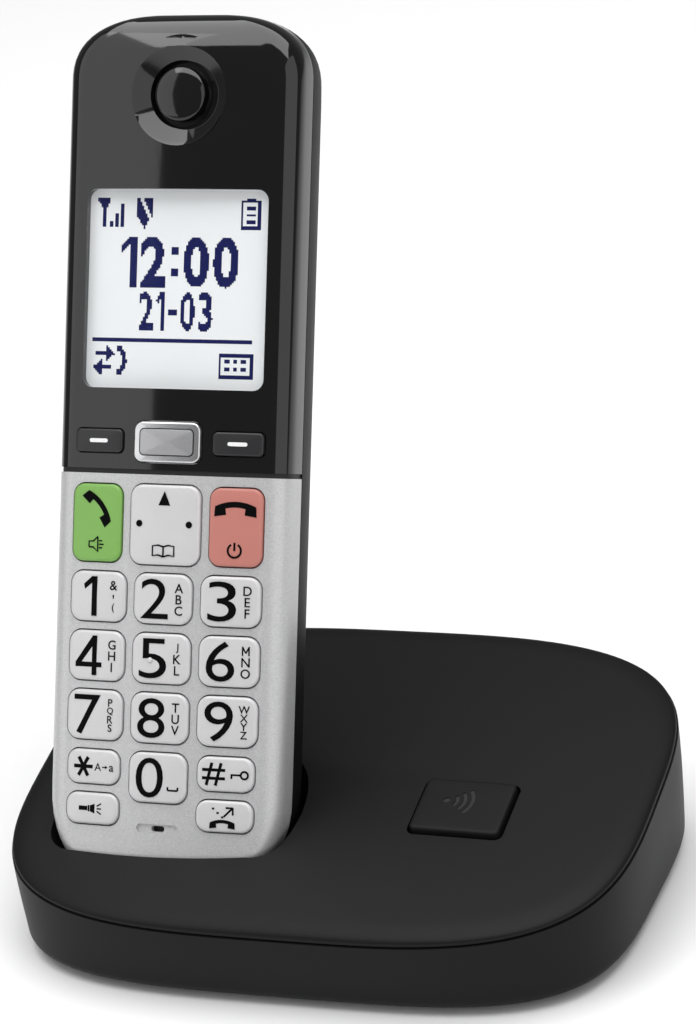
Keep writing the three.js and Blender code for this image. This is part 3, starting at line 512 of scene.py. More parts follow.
def handset_profile(z):
    """Half width, front depth and back depth of the handset at height z."""

    def at_top(length, power=2.0):
        return round_down(1 - (HANDSET_LENGTH - z) / length, power)

    def at_bottom(length, power=2.0):
        return round_down(1 - z / length, power)

    half = HANDSET_HALF - 19.5 * (at_top(13.5, 2.3) + at_bottom(20, 2.1))
    front = 8.5 * at_top(15.0, 2.7) + 7.0 * at_bottom(8.0)
    return half, front, HANDSET_DEPTH - 12.0 * at_top(18.0) - 11.0 * at_bottom(22.0)


HANDSET_STOPS = [0, 0.08, 0.3, 0.7, 1.3, 2, 3, 4, 5, 6, 7, 8, 10, 12, 15, 18, 22, 60, 100, 147]
HANDSET_TOP_STOPS = [0, 0.05, 0.2, 0.5, 0.9, 1.4, 2, 2.8, 3.6, 4.6, 5.8, 7, 8]
HANDSET_TOP_STOPS += [9.5, 11, 12.6, 14.3, 18]


def superellipse(power, steps=12):
    """A quarter turn from (0, 1) to (1, 0), squarer than a circle."""
    for a in (math.pi / 2 * i / steps for i in range(steps + 1)):
        yield math.sin(a) ** (2 / power), math.cos(a) ** (2 / power)


def handset_ring(z, grow, widen, level):
    """The section at height z, pushed out by grow, drawn at level."""
    half, front, back = handset_profile(z)
    half, front, back = half + grow, front - grow, back + grow
    corner, deep = min(5.4, 0.45 * half), min(4.8, 0.3 * (back - front))
    flat, side = half - corner, front + 9.0 * (back - front) / HANDSET_DEPTH
    right = [(flat * i / 12, front + crown(flat * i / 12)) for i in range(13)]
    edge = right[-1][1]
    for out, down in list(superellipse(2.5))[1:]:
        right.append((flat + corner * out, edge + deep * (1 - down)))
    for along, across in superellipse(2.3):
        right.append((0.5 * half * (1 + across), side + (back - side) * along))
    right += [(0.25 * half, back), (0.0, back)]
    ring = right + [(-x, y) for x, y in reversed(right[1:-1])]
    return [(x * widen, y, level) for x, y in ring]


def handset_solid(name, grow=0.0, widen=1.0):
    rings = []
    for z in HANDSET_STOPS + [HANDSET_LENGTH - z for z in reversed(HANDSET_TOP_STOPS)]:
        level = -grow + z * (HANDSET_LENGTH + 2 * grow) / HANDSET_LENGTH
        rings.append(handset_ring(z, grow, widen, level))
    return loft(name, rings)


# ---- Base shapes ---------------------------------------------------------------------------------
def outline(half_width, half_depth, power=3.34, count=160):
    def bend(v):
        return math.copysign(abs(v) ** (2 / power), v)

    turns = [2 * math.pi * (i + 0.5) / count for i in range(count)]
    return [(half_width * bend(math.cos(t)), half_depth * bend(math.sin(t))) for t in turns]


def cover_height(x, y):
    out = (x / BASE_HALF_WIDTH) ** 2 + (y / COVER_HALF_DEPTH) ** 2
    return COVER_RIM + COVER_CROWN * (1 - out)


def cover_solid(name, inset, low):
    """The crowned cover down to the level low, with every face moved in by inset."""
    side = COVER_SETBACK + inset
    edge = side + COVER_EDGE

    def ring(step, share=1.0):
        points = outline(BASE_HALF_WIDTH - step, COVER_HALF_DEPTH - step)
        lip = COVER_LIP * (1 - share) - inset
        return [(x, y, cover_height(x, y) * share + lip) for x, y in points]

    rings = [[(x, y, low) for x, y, _ in ring(side)]]
    for a in (math.pi / 2 * i / 9 for i in range(10)):
        rings.append(ring(side + COVER_EDGE * (1 - math.cos(a)), math.sin(a)))
    for share in (0.05, 0.12, 0.2, 0.3, 0.42, 0.55, 0.7, 0.85, 0.96):
        rings.append(ring(edge + share * (COVER_HALF_DEPTH - edge)))
    return loft(name, rings)


def housing_solid(name, inset, over):
    """The housing moved in by inset, up to a height of over above the seam."""
    floor, radius, rings = HOUSING_FLOOR + inset, HOUSING_FILLET - 0.5 * inset, []
    for i in range(9):
        a = math.pi / 2 * i / 8
        step = inset + HOUSING_DRAFT + radius * (1 - math.sin(a))
        z = floor + radius * (1 - math.cos(a))
        shape = outline(BASE_HALF_WIDTH - HOUSING_SIDE_DRAFT - step, BASE_HALF_DEPTH - step, 3.8)
        rings.append([(x, y, z) for x, y in shape])
    low, high = rings[-1], outline(BASE_HALF_WIDTH - inset, BASE_HALF_DEPTH - inset)
    top = [(x, y, SEAM_HEIGHT + y * math.tan(BASE_SLOPE) + over) for x, y in high]
    for i in range(1, 7):
        t = i / 6
        rise = Vector((math.sin(math.pi / 2 * t),) * 2 + (t,))
        rings.append([Vector(a) + (Vector(b) - Vector(a)) * rise for a, b in zip(low, top)])
    return loft(name, rings)


# ---- Printing: shapes drawn flat, in millimetres -------------------------------------------------
def flat_text(body, height, width=None, weight=0.0):
    """Faces of a line of text in the plane, centred on the origin, as (points, faces)."""
    curve = bpy.data.curves.new("lettering", "FONT")
    curve.body, curve.offset, curve.resolution_u = body, weight, 5
    obj = linked("lettering", curve)
    bpy.context.view_layer.update()
    mesh = bpy.data.meshes.new_from_object(obj.evaluated_get(bpy.context.evaluated_depsgraph_get()))
    points = [v.co.copy() for v in mesh.vertices]
    faces = [tuple(p.vertices) for p in mesh.polygons]
    bpy.data.objects.remove(obj)
    bpy.data.meshes.remove(mesh)
    bpy.data.curves.remove(curve)
    low = Vector((min(p.x for p in points), min(p.y for p in points)))
    high = Vector((max(p.x for p in points), max(p.y for p in points)))
    up = height / (high.y - low.y)
    across = width / (high.x - low.x) if width else up
    middle = (low + high) / 2
    return [((p.x - middle.x) * across, (p.y - middle.y) * up) for p in points], faces


def figure_one(height, width):
    """A one with a flag, drawn because the font's is a plain bar."""
    x0, x1, up = width / 2 - 0.15 * height, width / 2, height / 2
    flag = [(-x1, up - 0.2 * height), (0.03 * height - x1, up - 0.33 * height)]
    return [
        area((x0, -up), (x1, -up), (x1, up), (x0, up)),
        area((x1, up), (x0, up), *flag, (x0, up - 0.17 * height)),
    ]


def figure_four(height, width):
    left, up, line = -width / 2, height / 2, 0.135 * height
    stem, low = 0.22 * width, 0.2 * height - up
    edge, foot = stem + line / 2, low + 0.9 * line
    slant = [(left, foot), (left + 1.25 * line, foot), (edge, up - 0.1 * height), (edge, up)]
    return [
        bar(stem, 0, line, height),
        bar(0, low + line / 2, width, 0.92 * line),
        area(*slant, (stem - 0.4 * line, up)),
    ]


def letter_m(height, width, line):
    x, up = width / 2 - line / 2, height / 2
    return [
        bar(-x, 0, line, height),
        bar(x, 0, line, height),
        stroke([(-x, up - line / 2), (0, -0.2 * height)], line),
        stroke([(0, -0.2 * height), (x, up - line / 2)], line),
    ]


def glyph(mark, height, width=None, weight=0.0):
    """The shapes of one character about its middle; the font's weight fails on some of them."""
    if mark == "1":
        return figure_one(height, width or 0.38 * height)
    if mark == "4":
        return figure_four(height, width or 0.7 * height)
    if mark == "M":
        return letter_m(height, width or 0.86 * height, 0.15 * height)
    if mark == ":":
        dot = 0.17 * height
        return [bar(0, k * 0.21 * height, dot, dot) for k in (-1, 1)]
    if mark == "-":
        return [bar(0, -0.02 * height, width or 0.3 * height, 0.12 * height)]
    return [flat_text(mark, height, width, weight)]


def figures(text, height, wide, space, weight):
    """A line of figures about its middle."""
    out, x = [], 0.0
    for mark in text:
        w = {"1": 0.64, ":": 0.34, "-": 0.55}.get(mark, 1.0) * wide
        out += [moved(s, x + w / 2) for s in glyph(mark, height, w, weight)]
        x += w + space
    return [moved(s, -(x - space) / 2) for s in out]


def disc(x, z, r, sides=20):
    return circle(r, x, z, sides), [tuple(range(sides))]


def area(*corners):
    return list(corners), [tuple(range(len(corners)))]


def bar(x, z, w, h):
    x0, x1, z0, z1 = x - w / 2, x + w / 2, z - h / 2, z + h / 2
    return area((x0, z0), (x1, z0), (x1, z1), (x0, z1))


def stroke(points, width):
    """A line of the given width along the points."""
    sides = ([], [])
    for i, (x, z) in enumerate(points):
        before, after = points[max(0, i - 1)], points[min(len(points) - 1, i + 1)]
        d = Vector((after[0] - before[0], after[1] - before[1])).normalized() * width / 2
        sides[0].append((x - d.y, z + d.x))
        sides[1].append((x + d.y, z - d.x))
    n = len(points)
    return sides[0] + sides[1], [(i, i + 1, n + i + 1, n + i) for i in range(n - 1)]


def arc(x, z, r, start, end, width, steps=16):
    turn = [math.radians(start + (end - start) * i / steps) for i in range(steps + 1)]
    return stroke([(x + r * math.cos(a), z + r * math.sin(a)) for a in turn], width)


def moved(shape, x=0.0, z=0.0, turn=0.0, size=1.0):
    points, faces = shape
    c, s = math.cos(math.radians(turn)) * size, math.sin(math.radians(turn)) * size
    return [(x + c * px - s * pz, z + s * px + c * pz) for px, pz in points], faces


def receiver(x, z, size, turn=0.0):
    """A telephone receiver, ends down, "size" wide."""
    parts = [
        arc(0, -0.9, 1.02, 63, 117, 0.13),
        area((-0.5, -0.16), (-0.49, 0.04), (-0.25, 0.1), (-0.22, -0.12)),
        area((0.5, -0.16), (0.49, 0.04), (0.25, 0.1), (0.22, -0.12)),
    ]
    return [moved(p, x, z, turn, size) for p in parts]


def torch(x, z):
    parts = [bar(-1.5, 0, 2.0, 0.9), bar(-0.2, 0, 0.4, 1.3)]
    parts += [area((0.1, -0.6), (1.2, -1.0), (1.2, 1.0), (0.1, 0.6))]
    parts += [stroke([(1.7, k * 0.5), (2.7, k * 1.1)], 0.28) for k in (-1, 0, 1)]
    return [moved(p, x, z) for p in parts]


def star(x, z, r, width):
    return [moved(stroke([(-r, 0), (r, 0)], width), x, z, turn) for turn in (0, 60, 120)]


def hash_sign(x, z, w, h, width):
    up = stroke([(-0.12 * h, -h / 2), (0.12 * h, h / 2)], width)
    parts = [moved(up, k * w / 5) for k in (-1, 1)]
    parts += [bar(0, k * h / 5.4, w, width) for k in (-1, 1)]
    return [moved(p, x, z) for p in parts]


def small_arrow(x, z):
    parts = bar(-0.2, 0, 0.8, 0.22), area((0.1, -0.35), (0.65, 0), (0.1, 0.35))
    return [moved(p, x, z) for p in parts]


def book(x, z):
    page = [(0, -0.9), (0.9, -0.6), (1.9, -0.75), (1.9, 0.85), (0.9, 1.0), (0, 0.75)]
    out = [stroke([(x + k * px, z + pz) for px, pz in page], 0.26) for k in (-1, 1)]
    return out + [bar(x, z - 0.05, 0.26, 1.7)]


def speaker_sign(x, z):
    parts = [
        stroke([(-1.3, -0.5), (-1.3, 0.5), (-0.5, 0.5), (0.4, 1.3)], 0.26),
        stroke([(0.4, 1.3), (0.4, -1.3), (-0.5, -0.5), (-1.3, -0.5)], 0.26),
        bar(1.1, 0, 0.9, 0.24),
        bar(0.95, 0.6, 0.6, 0.24),
        bar(0.95, -0.6, 0.6, 0.24),
    ]
    return [moved(p, x, z) for p in parts]


LETTERS = dict(enumerate("&'( ABC DEF GHI JKL MNO PQRS TUV WXYZ".split(), 1))


def key_printing(name):
    """The shapes printed on a key, about its middle."""
    if name[4:].isdigit():
        n = int(name[4:])
        shapes = [moved(g, -1.6) for g in glyph(str(n), 8.15, 3.1 if n == 1 else 6.1, -0.002)]
        if n == 0:
            sign = [(2.5, -1.7), (2.5, -2.4), (4.7, -2.4), (4.7, -1.7)]
            return shapes + [stroke(sign[i : i + 2], 0.36) for i in range(3)]
        marks = LETTERS[n]
        pitch, tall = 6.9 / len(marks), 1.9 if len(marks) == 3 else 1.55
        for i, mark in enumerate(marks):
            height = tall if mark.isalpha() or mark in "&(" else 0.8
            level = pitch * ((len(marks) - 1) / 2 - i)
            shapes += [moved(g, 3.75, level) for g in glyph(mark, height, None, 0.006)]
        return shapes
    if name == "key_star":
        large = moved(flat_text("A", 1.6, None, 0.004), 1.3)
        small = moved(flat_text("a", 1.2, None, 0.004), 4.4, -0.2)
        return star(-2.1, 0, 2.2, 0.75) + [large, small] + small_arrow(2.9, 0)
    if name == "key_hash":
        key = [arc(4.2, 0, 0.75, 0, 360, 0.4, 24), bar(2.4, 0, 2.2, 0.38), bar(1.5, -0.45, 0.4, 0.7)]
        return hash_sign(-2.3, 0, 4.9, 4.6, 0.62) + key
    if name == "key_torch":
        return torch(-0.4, 0)
    if name == "key_redial":
        dots = [bar(-2.2 + 1.0 * i, 1.9 - 0.85 * i, 0.5, 0.4) for i in range(3)]
        rise = [stroke([(0.1, 0.3), (1.9, 2.1)], 0.42)]
        rise += [stroke([(0.5, 2.15), (2.0, 2.15), (2.0, 0.7)], 0.42)]
        return [moved(g, 0, -0.3) for g in dots + rise + receiver(-0.2, -1.3, 5.4)]
    if name == "key_talk":
        return receiver(0.3, 3.1, 8.4, -50) + [moved(g, size=1.2) for g in speaker_sign(0, -3.7)]
    if name == "key_hang_up":
        power = [arc(0, -4.7, 1.4, 120, 420, 0.42), bar(0, -3.9, 0.42, 1.7)]
        return receiver(0, 3.6, 8.9) + power
    if name == "navigator_key":
        marks = [area((-1.3, 4.0), (1.3, 4.0), (0, 6.9)), disc(-5.5, 0.2, 0.7), disc(5.5, 0.2, 0.7)]
        return marks + [moved(g, size=1.25) for g in book(0, -4.3)]
    if name.startswith("soft_key"):
        return [(rounded_rectangle(4.2, 0.8, 0.4), [tuple(range(36))])]
    return []


def display_shapes():
    """What the display shows, in shares of its width and height from its upper left corner."""
    w, h = WINDOW_W, WINDOW_H

    def at(x, y):
        return (x - 0.5) * w, (0.5 - y) * h

    def panel(x0, y0, x1, y1):
        (ax, az), (bx, bz) = at(x0, y0), at(x1, y1)
        return bar((ax + bx) / 2, (az + bz) / 2, bx - ax, az - bz)

    def corners(*shares):
        return area(*(at(x, y) for x, y in shares))

    def frame_of(x0, y0, x1, y1, t):
        return [
            panel(x0, y0, x1, y0 + t),
            panel(x0, y1 - t, x1, y1),
            panel(x0, y0, x0 + t, y1),
            panel(x1 - t, y0, x1, y1),
        ]

    shapes = []
    for i in range(3):
        shapes.append(panel(0.105 + 0.028 * i, 0.155 - 0.045 * i, 0.125 + 0.028 * i, 0.18))
    shapes += [panel(0.06, 0.05, 0.08, 0.18), panel(0.035, 0.035, 0.105, 0.052)]
    shapes += [stroke([at(x, 0.04), at(0.07, 0.09)], 0.8) for x in (0.04, 0.1)]
    shapes += [corners((0.25, 0.035), (0.266, 0.035), (0.322, 0.145), (0.298, 0.19), (0.25, 0.125))]
    shapes += [corners((0.289, 0.035), (0.345, 0.035), (0.345, 0.125), (0.337, 0.134))]
    shapes += [panel(0.868, 0.03, 0.918, 0.045)] + frame_of(0.84, 0.045, 0.945, 0.19, 0.0125)
    shapes += [panel(0.864, y, 0.921, y + 0.0165) for y in (0.0745, 0.1095, 0.1445)]
    x, z = at(0.5, 0.36)
    shapes += [moved(g, x, z) for g in figures("12:00", 10.3, 5.6, 1.0, 0.03)]
    x, z = at(0.485, 0.612)
    shapes += [moved(g, x, z) for g in figures("21-03", 7.9, 3.2, 0.75, 0.02)]
    shapes += [panel(0.02, 0.753, 0.92, 0.77)]
    shapes += [panel(0.04, 0.822, 0.1, 0.845), panel(0.075, 0.892, 0.135, 0.915)]
    shapes += [corners((0.1, 0.79), (0.15, 0.833), (0.1, 0.876))]
    shapes += [corners((0.078, 0.86), (0.024, 0.903), (0.078, 0.946))]
    shapes += [arc(*at(0.13, 0.867), 3.0, -58, 58, 0.95)]
    shapes += [panel(0.162, y, 0.195, y + 0.032) for y in (0.79, 0.912)]
    shapes += frame_of(0.735, 0.82, 0.925, 0.95, 0.017)
    for x, y in ((0.772 + 0.045 * i, 0.848 + 0.042 * j) for i in range(3) for j in range(2)):
        shapes.append(panel(x, y, x + 0.025, y + 0.025))
    return shapes


def dotted(shapes, half_w, half_h, pitch):
    """The shapes redrawn in square dots: runs of neighbours in a row become one face."""
    bm = bmesh.new()
    for points, faces in shapes:
        verts = [bm.verts.new((x, z, 0)) for x, z in points]
        for face in faces:
            bm.faces.new([verts[i] for i in face])
    tree = BVHTree.FromBMesh(bm)
    bm.free()
    out = []
    for j in range(int(2 * half_h / pitch)):
        z, start = -half_h + (j + 0.5) * pitch, None
        for i in range(int(2 * half_w / pitch) + 1):
            x = -half_w + (i + 0.5) * pitch
            inked = tree.ray_cast(Vector((x, z, 1)), Vector((0, 0, -1)))[0] is not None
            if inked and start is None:
                start = x - pitch / 2
            if not inked and start is not None:
                end = x - pitch / 2
                out.append(bar((start + end) / 2, z, end - start, pitch))
                start = None
    return out


def decal(name, shapes, surface, thickness=0.06, lift=0.03):
    """Flat shapes laid on a surface of depth surface(x, z), with the print standing off it."""
    bm = bmesh.new()
    for points, faces in shapes:
        for face in faces:
            corners = [points[i] for i in face]
            if sum(a[0] * b[1] - b[0] * a[1] for a, b in zip(corners, corners[1:] + corners[:1])) < 0:
                corners.reverse()
            front = [bm.verts.new((x, surface(x, z) - lift, z)) for x, z in corners]
            bm.faces.new(front)
    bmesh.ops.remove_doubles(bm, verts=bm.verts, dist=0.002)
    made = bmesh.ops.extrude_face_region(bm, geom=list(bm.faces))
    for v in (e for e in made["geom"] if isinstance(e, bmesh.types.BMVert)):
        v.co.y += thickness
    bmesh.ops.recalc_face_normals(bm, faces=bm.faces)
    mesh = bpy.data.meshes.new(name)
    bm.to_mesh(mesh)
    bm.free()
    return linked(name, mesh)


# ---- Repeated features, as node trees ------------------------------------------------------------
def node_tree(name, inputs):
    """A geometry node tree with those (name, kind, default) inputs, and its given sockets."""
    tree = bpy.data.node_groups.new(name, "GeometryNodeTree")
    for label, kind, default in inputs:
        socket = tree.interface.new_socket(label, in_out="INPUT", socket_type=f"NodeSocket{kind}")
        socket.default_value = default
    tree.interface.new_socket("Material", in_out="INPUT", socket_type="NodeSocketMaterial")
    tree.interface.new_socket("Geometry", in_out="OUTPUT", socket_type="NodeSocketGeometry")
    return tree, tree.nodes.new("NodeGroupInput").outputs


def grow_node(tree, kind, **links):
    """Adds a node with those inputs, as values or sockets, and gives its first output."""
    n = tree.nodes.new(kind)
    for key, v in links.items():
        slot = n.inputs[key.replace("_", " ")]
        if isinstance(v, bpy.types.NodeSocket):
            tree.links.new(v, slot)
        else:
            slot.default_value = v
    return n.outputs[0]


def end_tree(tree, geometry, material):
    real = grow_node(tree, "GeometryNodeRealizeInstances", Geometry=geometry)
    painted = grow_node(tree, "GeometryNodeSetMaterial", Geometry=real, Material=material)
    tree.links.new(painted, tree.nodes.new("NodeGroupOutput").inputs["Geometry"])
    return tree


def rib_tree():
    """A row of round-ended ribs along Z, each lying across X."""
    inputs = ("Count", "Int", 5), ("Pitch", "Float", 2.0)
    inputs += ("Length", "Float", 14.0), ("Radius", "Float", 0.5)
    tree, given = node_tree("rib_row", inputs)
    step = grow_node(tree, "ShaderNodeCombineXYZ", Z=given["Pitch"])
    row = grow_node(tree, "GeometryNodeMeshLine", Count=given["Count"], Offset=step)
    length, radius = given["Length"], given["Radius"]
    size = grow_node(tree, "ShaderNodeCombineXYZ", X=length, Y=radius, Z=radius)
    ball = grow_node(tree, "GeometryNodeMeshUVSphere", Segments=16, Rings=12, Radius=1.0)
    rib = grow_node(tree, "GeometryNodeTransform", Geometry=ball, Scale=size)
    ribs = grow_node(tree, "GeometryNodeInstanceOnPoints", Points=row, Instance=rib)
    return end_tree(tree, ribs, given["Material"])


def coil_tree():
    """A conical coil spring of round wire, standing on the origin along Z."""
    inputs = ("Turns", "Float", 3.0), ("Wide Radius", "Float", 3.4)
    inputs += ("Narrow Radius", "Float", 1.8), ("Height", "Float", 3.0)
    inputs += (("Wire Radius", "Float", 0.3),)
    tree, given = node_tree("coil_spring", inputs)
    path = grow_node(
        tree,
        "GeometryNodeCurveSpiral",
        Resolution=24,
        Rotations=given["Turns"],
        Start_Radius=given["Wide Radius"],
        End_Radius=given["Narrow Radius"],
        Height=given["Height"],
    )
    ring = grow_node(
        tree, "GeometryNodeCurvePrimitiveCircle", Resolution=10, Radius=given["Wire Radius"]
    )
    wire = grow_node(
        tree, "GeometryNodeCurveToMesh", Curve=path, Profile_Curve=ring, Fill_Caps=True
    )
    return end_tree(tree, wire, given["Material"])


def grown(name, tree, **values):
    """The plain mesh that a tree makes with those inputs."""
    obj = mesh_object(name, [], [])
    m = obj.modifiers.new("grow", "NODES")
    m.node_group = tree
    for item in tree.interface.items_tree:
        if item.name in values:
            m[item.identifier] = values[item.name]
    return plain_mesh(obj)


# ---- Settings ------------------------------------------------------------------------------------
def colour_property(name, words, default):
    return bpy.props.FloatVectorProperty(
        name=name, description=words, subtype="COLOR", size=3, min=0, max=1, default=default
    )


def number_property(name, words, default, low, high, **kind):
    return bpy.props.FloatProperty(
        name=name, description=words, default=default, min=low, max=high, **kind
    )


class PhoneBaseSettings(bpy.types.PropertyGroup):
    colour: colour_property("Colour", "Colour of the base's moulded plastic", rgb(17, 17, 18))
    roughness: number_property(
        "Roughness", "How matt the plastic is", 0.42, 0, 1, subtype="FACTOR"
    )
    edge: number_property("Edge", "Radius of the moulded edges in millimetres", 0.5, 0.05, 2)


class PhoneHandsetSettings(bpy.types.PropertyGroup):
    bezel_colour: colour_property("Bezel", "Colour of the polished upper case", rgb(11, 11, 12))
    case_colour: colour_property("Case", "Colour of the painted lower case", rgb(198, 198, 199))
    edge: number_property("Edge", "Radius of the cases' edges in millimetres", 0.25, 0.05, 1)


class PhoneKeySettings(bpy.types.PropertyGroup):
    number_colour: colour_property("Numbers", "Colour of the number keys", rgb(206, 205, 206))
    talk_colour: colour_property("Talk", "Colour of the talk key", rgb(122, 172, 84))
    hang_up_colour: colour_property("Hang up", "Colour of the hang-up key", rgb(188, 120, 110))
    shoulder: number_property(
        "Shoulder", "Rounding of a key's edge in millimetres", 0.75, 0.1, 2
    )


class PhoneDisplaySettings(bpy.types.PropertyGroup):
    # The display's white is also the colour of its glow. The glow is painted light that stands in for
    # the light falling on the display through its window.
    lit_colour: colour_property("Lit", "Colour of the lit display", rgb(226, 229, 231))
    ink_colour: colour_property("Ink", "Colour of the display's dots", rgb(22, 28, 84))
    glow: number_property("Glow", "Light that the display gives off", 0.22, 0, 5)
    dot: number_property("Dot", "Pitch of the display's dots in millimetres", 0.4, 0.2, 1)


class PhoneStageSettings(bpy.types.PropertyGroup):
    floor_colour: colour_property("Floor", "Colour of the floor", (0.93, 0.93, 0.93))
    key_light: number_property(
        "Top light", "Power of the large light", 22.0, 0, 1000, subtype="POWER"
    )


# ---- Pieces --------------------------------------------------------------------------------------
def in_cover_frame(obj, place=HANDSET):
    obj.data.transform(COVER.inverted() @ place)
    return obj


def well_solid(name, wall):
    grow = WELL_GAP + wall
    widen = (HANDSET_HALF + WELL_SIDE_GAP + wall) / (HANDSET_HALF + grow)
    return in_cover_frame(handset_solid(name, grow, widen))


def contact_slots(gap=0.0, z0=-3, z1=1.1):
    """Cutters for the two charging contacts, in the handset's frame."""
    for x in (-CONTACT_X, CONTACT_X):
        half, front, back = CONTACT_HALF + gap, CONTACT_FRONT - gap, CONTACT_BACK + gap
        yield block("contact", x - half, x + half, front, back, z0, z1)


class PHONE_OT_top_cover(bpy.types.Operator):
    """Build the base's crowned top cover with the handset's well"""

    bl_idname = "phone.top_cover"
    bl_label = "Top Cover"

    def execute(self, context):
        cover = cover_solid("top_cover", 0, 0.2)
        cut(cover, cover_solid("inside", BASE_WALL, -6))
        cup = well_solid("cup", BASE_WALL)
        trim = cover_solid("trim", 1.0, -40)
        room = in_cover_frame(housing_solid("room", BASE_WALL + 0.4, 3), BASE)
        combine(cup, "INTERSECT", combine(trim, "INTERSECT", room))
        combine(cover, "UNION", cup)
        cut(cover, well_solid("well", 0))
        size = (LOCATOR_W + 4 * GAP, LOCATOR_D + 4 * GAP, 1.8, LOCATOR_X, LOCATOR_Y)
        cut(cover, pillar("hole", rounded_rectangle(*size), -5, 9))
        cut(cover, *(in_cover_frame(s) for s in contact_slots(GAP, -4.7, 1)))
        edge = context.scene.phone_base.edge
        dress(cover, moulded_black, "base", "charcoal", ["base_top_cover"], COVER, edge)
        return {"FINISHED"}


class PHONE_OT_lower_housing(bpy.types.Operator):
    """Build the base's lower housing with its sockets' openings"""

    bl_idname = "phone.lower_housing"
    bl_label = "Lower Housing"

    def execute(self, context):
        housing = housing_solid("lower_housing", 0, -0.2)
        cut(housing, housing_solid("inside", BASE_WALL, 3))
        for x, y in ((x, y) for x in (-FOOT_X, FOOT_X) for y in (-FOOT_Y, FOOT_Y)):
            cut(housing, pillar("foot_hole", circle(FOOT_HOLE_RADIUS, x, y), 0, 2.1))
        for x, w, h in SOCKETS:
            half, z0, z1 = w / 2 + GAP, SOCKET_FLOOR - GAP, SOCKET_FLOOR + h + GAP
            cut(housing, block("socket_hole", x - half, x + half, 29.7, 56, z0, z1))
        dress(housing, moulded_black, "base", "charcoal", ["base_lower_housing"], BASE, 0.3)
        return {"FINISHED"}


class PHONE_OT_feet(bpy.types.Operator):
    """Build the rubber feet"""

    bl_idname = "phone.feet"
    bl_label = "Rubber Feet"

    def execute(self, context):
        for node in FEET:
            low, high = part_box(node)
            middle = (low + high) / 2 / MM
            rings = []
            for r, z in ((3.4, 0), (4.1, 0.12), (4.4, 0.5), (4.5, 1.0), (4.5, 1.8)):
                rings.append([(x, y, z) for x, y in circle(r, middle.x, middle.y, 40)])
            foot = loft(node + "_pad", rings)
            dress(foot, soft_rubber, "base", "rubber", [node], TO_METRES)
        return {"FINISHED"}


LOCATOR_EDGE = ((0, -5), (0, -0.7), (0.05, -0.4), (0.2, -0.16), (0.45, -0.03), (0.8, 0))


class PHONE_OT_locator(bpy.types.Operator):
    """Build the handset locator button with its sunk sign"""

    bl_idname = "phone.locator"
    bl_label = "Locator Button"

    def execute(self, context):
        sizes = [(2 * inset, 1.4 - inset, drop) for inset, drop in LOCATOR_EDGE]
        sizes = [(LOCATOR_W - d, LOCATOR_D - d, corner, drop) for d, corner, drop in sizes]
        flat_w, flat_d = LOCATOR_W - 1.6, LOCATOR_D - 1.6
        sizes += [(flat_w * share, flat_d * share, 0.5, 0) for share in (0.8, 0.55, 0.3)]
        rings = []
        for w, d, corner, drop in sizes:
            shape = rounded_rectangle(w, d, corner, LOCATOR_X, LOCATOR_Y)
            rings.append([(x, y, cover_height(x, y) + LOCATOR_PROUD + drop) for x, y in shape])
        button = loft("locator_cap", rings)
        x, y = LOCATOR_X - 1.6, LOCATOR_Y + 1.2
        high = cover_height(x, y) + LOCATOR_PROUD
        sign = [circle(0.75, x - 2.2, y, 20)]
        for r in (2.3, 3.9, 5.5):
            points = arc(x - 2.2, y, r, -38, 38, 0.75)[0]
            half = len(points) // 2
            sign.append(points[:half] + points[:half - 1:-1])
        for shape in sign:
            cut(button, pillar("sign", shape, high - 0.35, high + 1))
            # A darker piece laid in each sunk mark of the sign is painted shade for the recess.
            sign_shade = pillar("sign_painted_shade", shape, high - 0.5, high - 0.15)
            dress(sign_shade, deep_black, "locator_button", "charcoal", [], COVER)
        node = "locator_button"
        dress(button, moulded_black, node, "charcoal", [node], COVER, 0.12)
        return {"FINISHED"}


def key_holes():
    for name, (x, z, (w, h, r)) in KEYS.items():
        shape = rounded_rectangle(w + 2 * GAP, h + 2 * GAP, r + GAP, x, z)
        yield face_slab(name + "_hole", shape, -3, 5)


def case_part(name, y0, y1, z0, z1):
    """The hollow handset between those depths and heights."""
    part = cut(handset_solid(name), handset_solid("inside", -CASE_WALL))
    return combine(part, "INTERSECT", block("zone", -CASE_SIDE, CASE_SIDE, y0, y1, z0, z1))


def torch_hole():
    return pillar("torch", circle(TORCH_RADIUS, 0, TORCH_DEPTH, 24), 172, 184)


class PHONE_OT_lower_case(bpy.types.Operator):
    """Build the painted lower front case with its key holes"""

    bl_idname = "phone.lower_case"
    bl_label = "Lower Front Case"

    def execute(self, context):
        case = case_part("lower_case", -5, CASE_SEAM - SEAM, -5, PANEL_SEAM)
        cut(case, *key_holes())
        cut(case, face_slab("mic_slot", rounded_rectangle(9.2, 1.9, 0.95, 0, MIC_Z), -1, 0.6))
        cut(case, face_slab("mic_hole", rounded_rectangle(2.9, 1.2, 0.6, 0, MIC_Z), -1, 3))
        cut(case, *contact_slots())
        edge = context.scene.phone_handset.edge
        dress(case, silver_paint, "handset", "silver", ["front_lower_case"], bevel=edge)
        return {"FINISHED"}


def window_shape(grow):
    w, h, corner = WINDOW_W + 2 * grow, WINDOW_H + 2 * grow, WINDOW_CORNER + grow
    return rounded_rectangle(w, h, corner, 0, WINDOW_Z, 10)


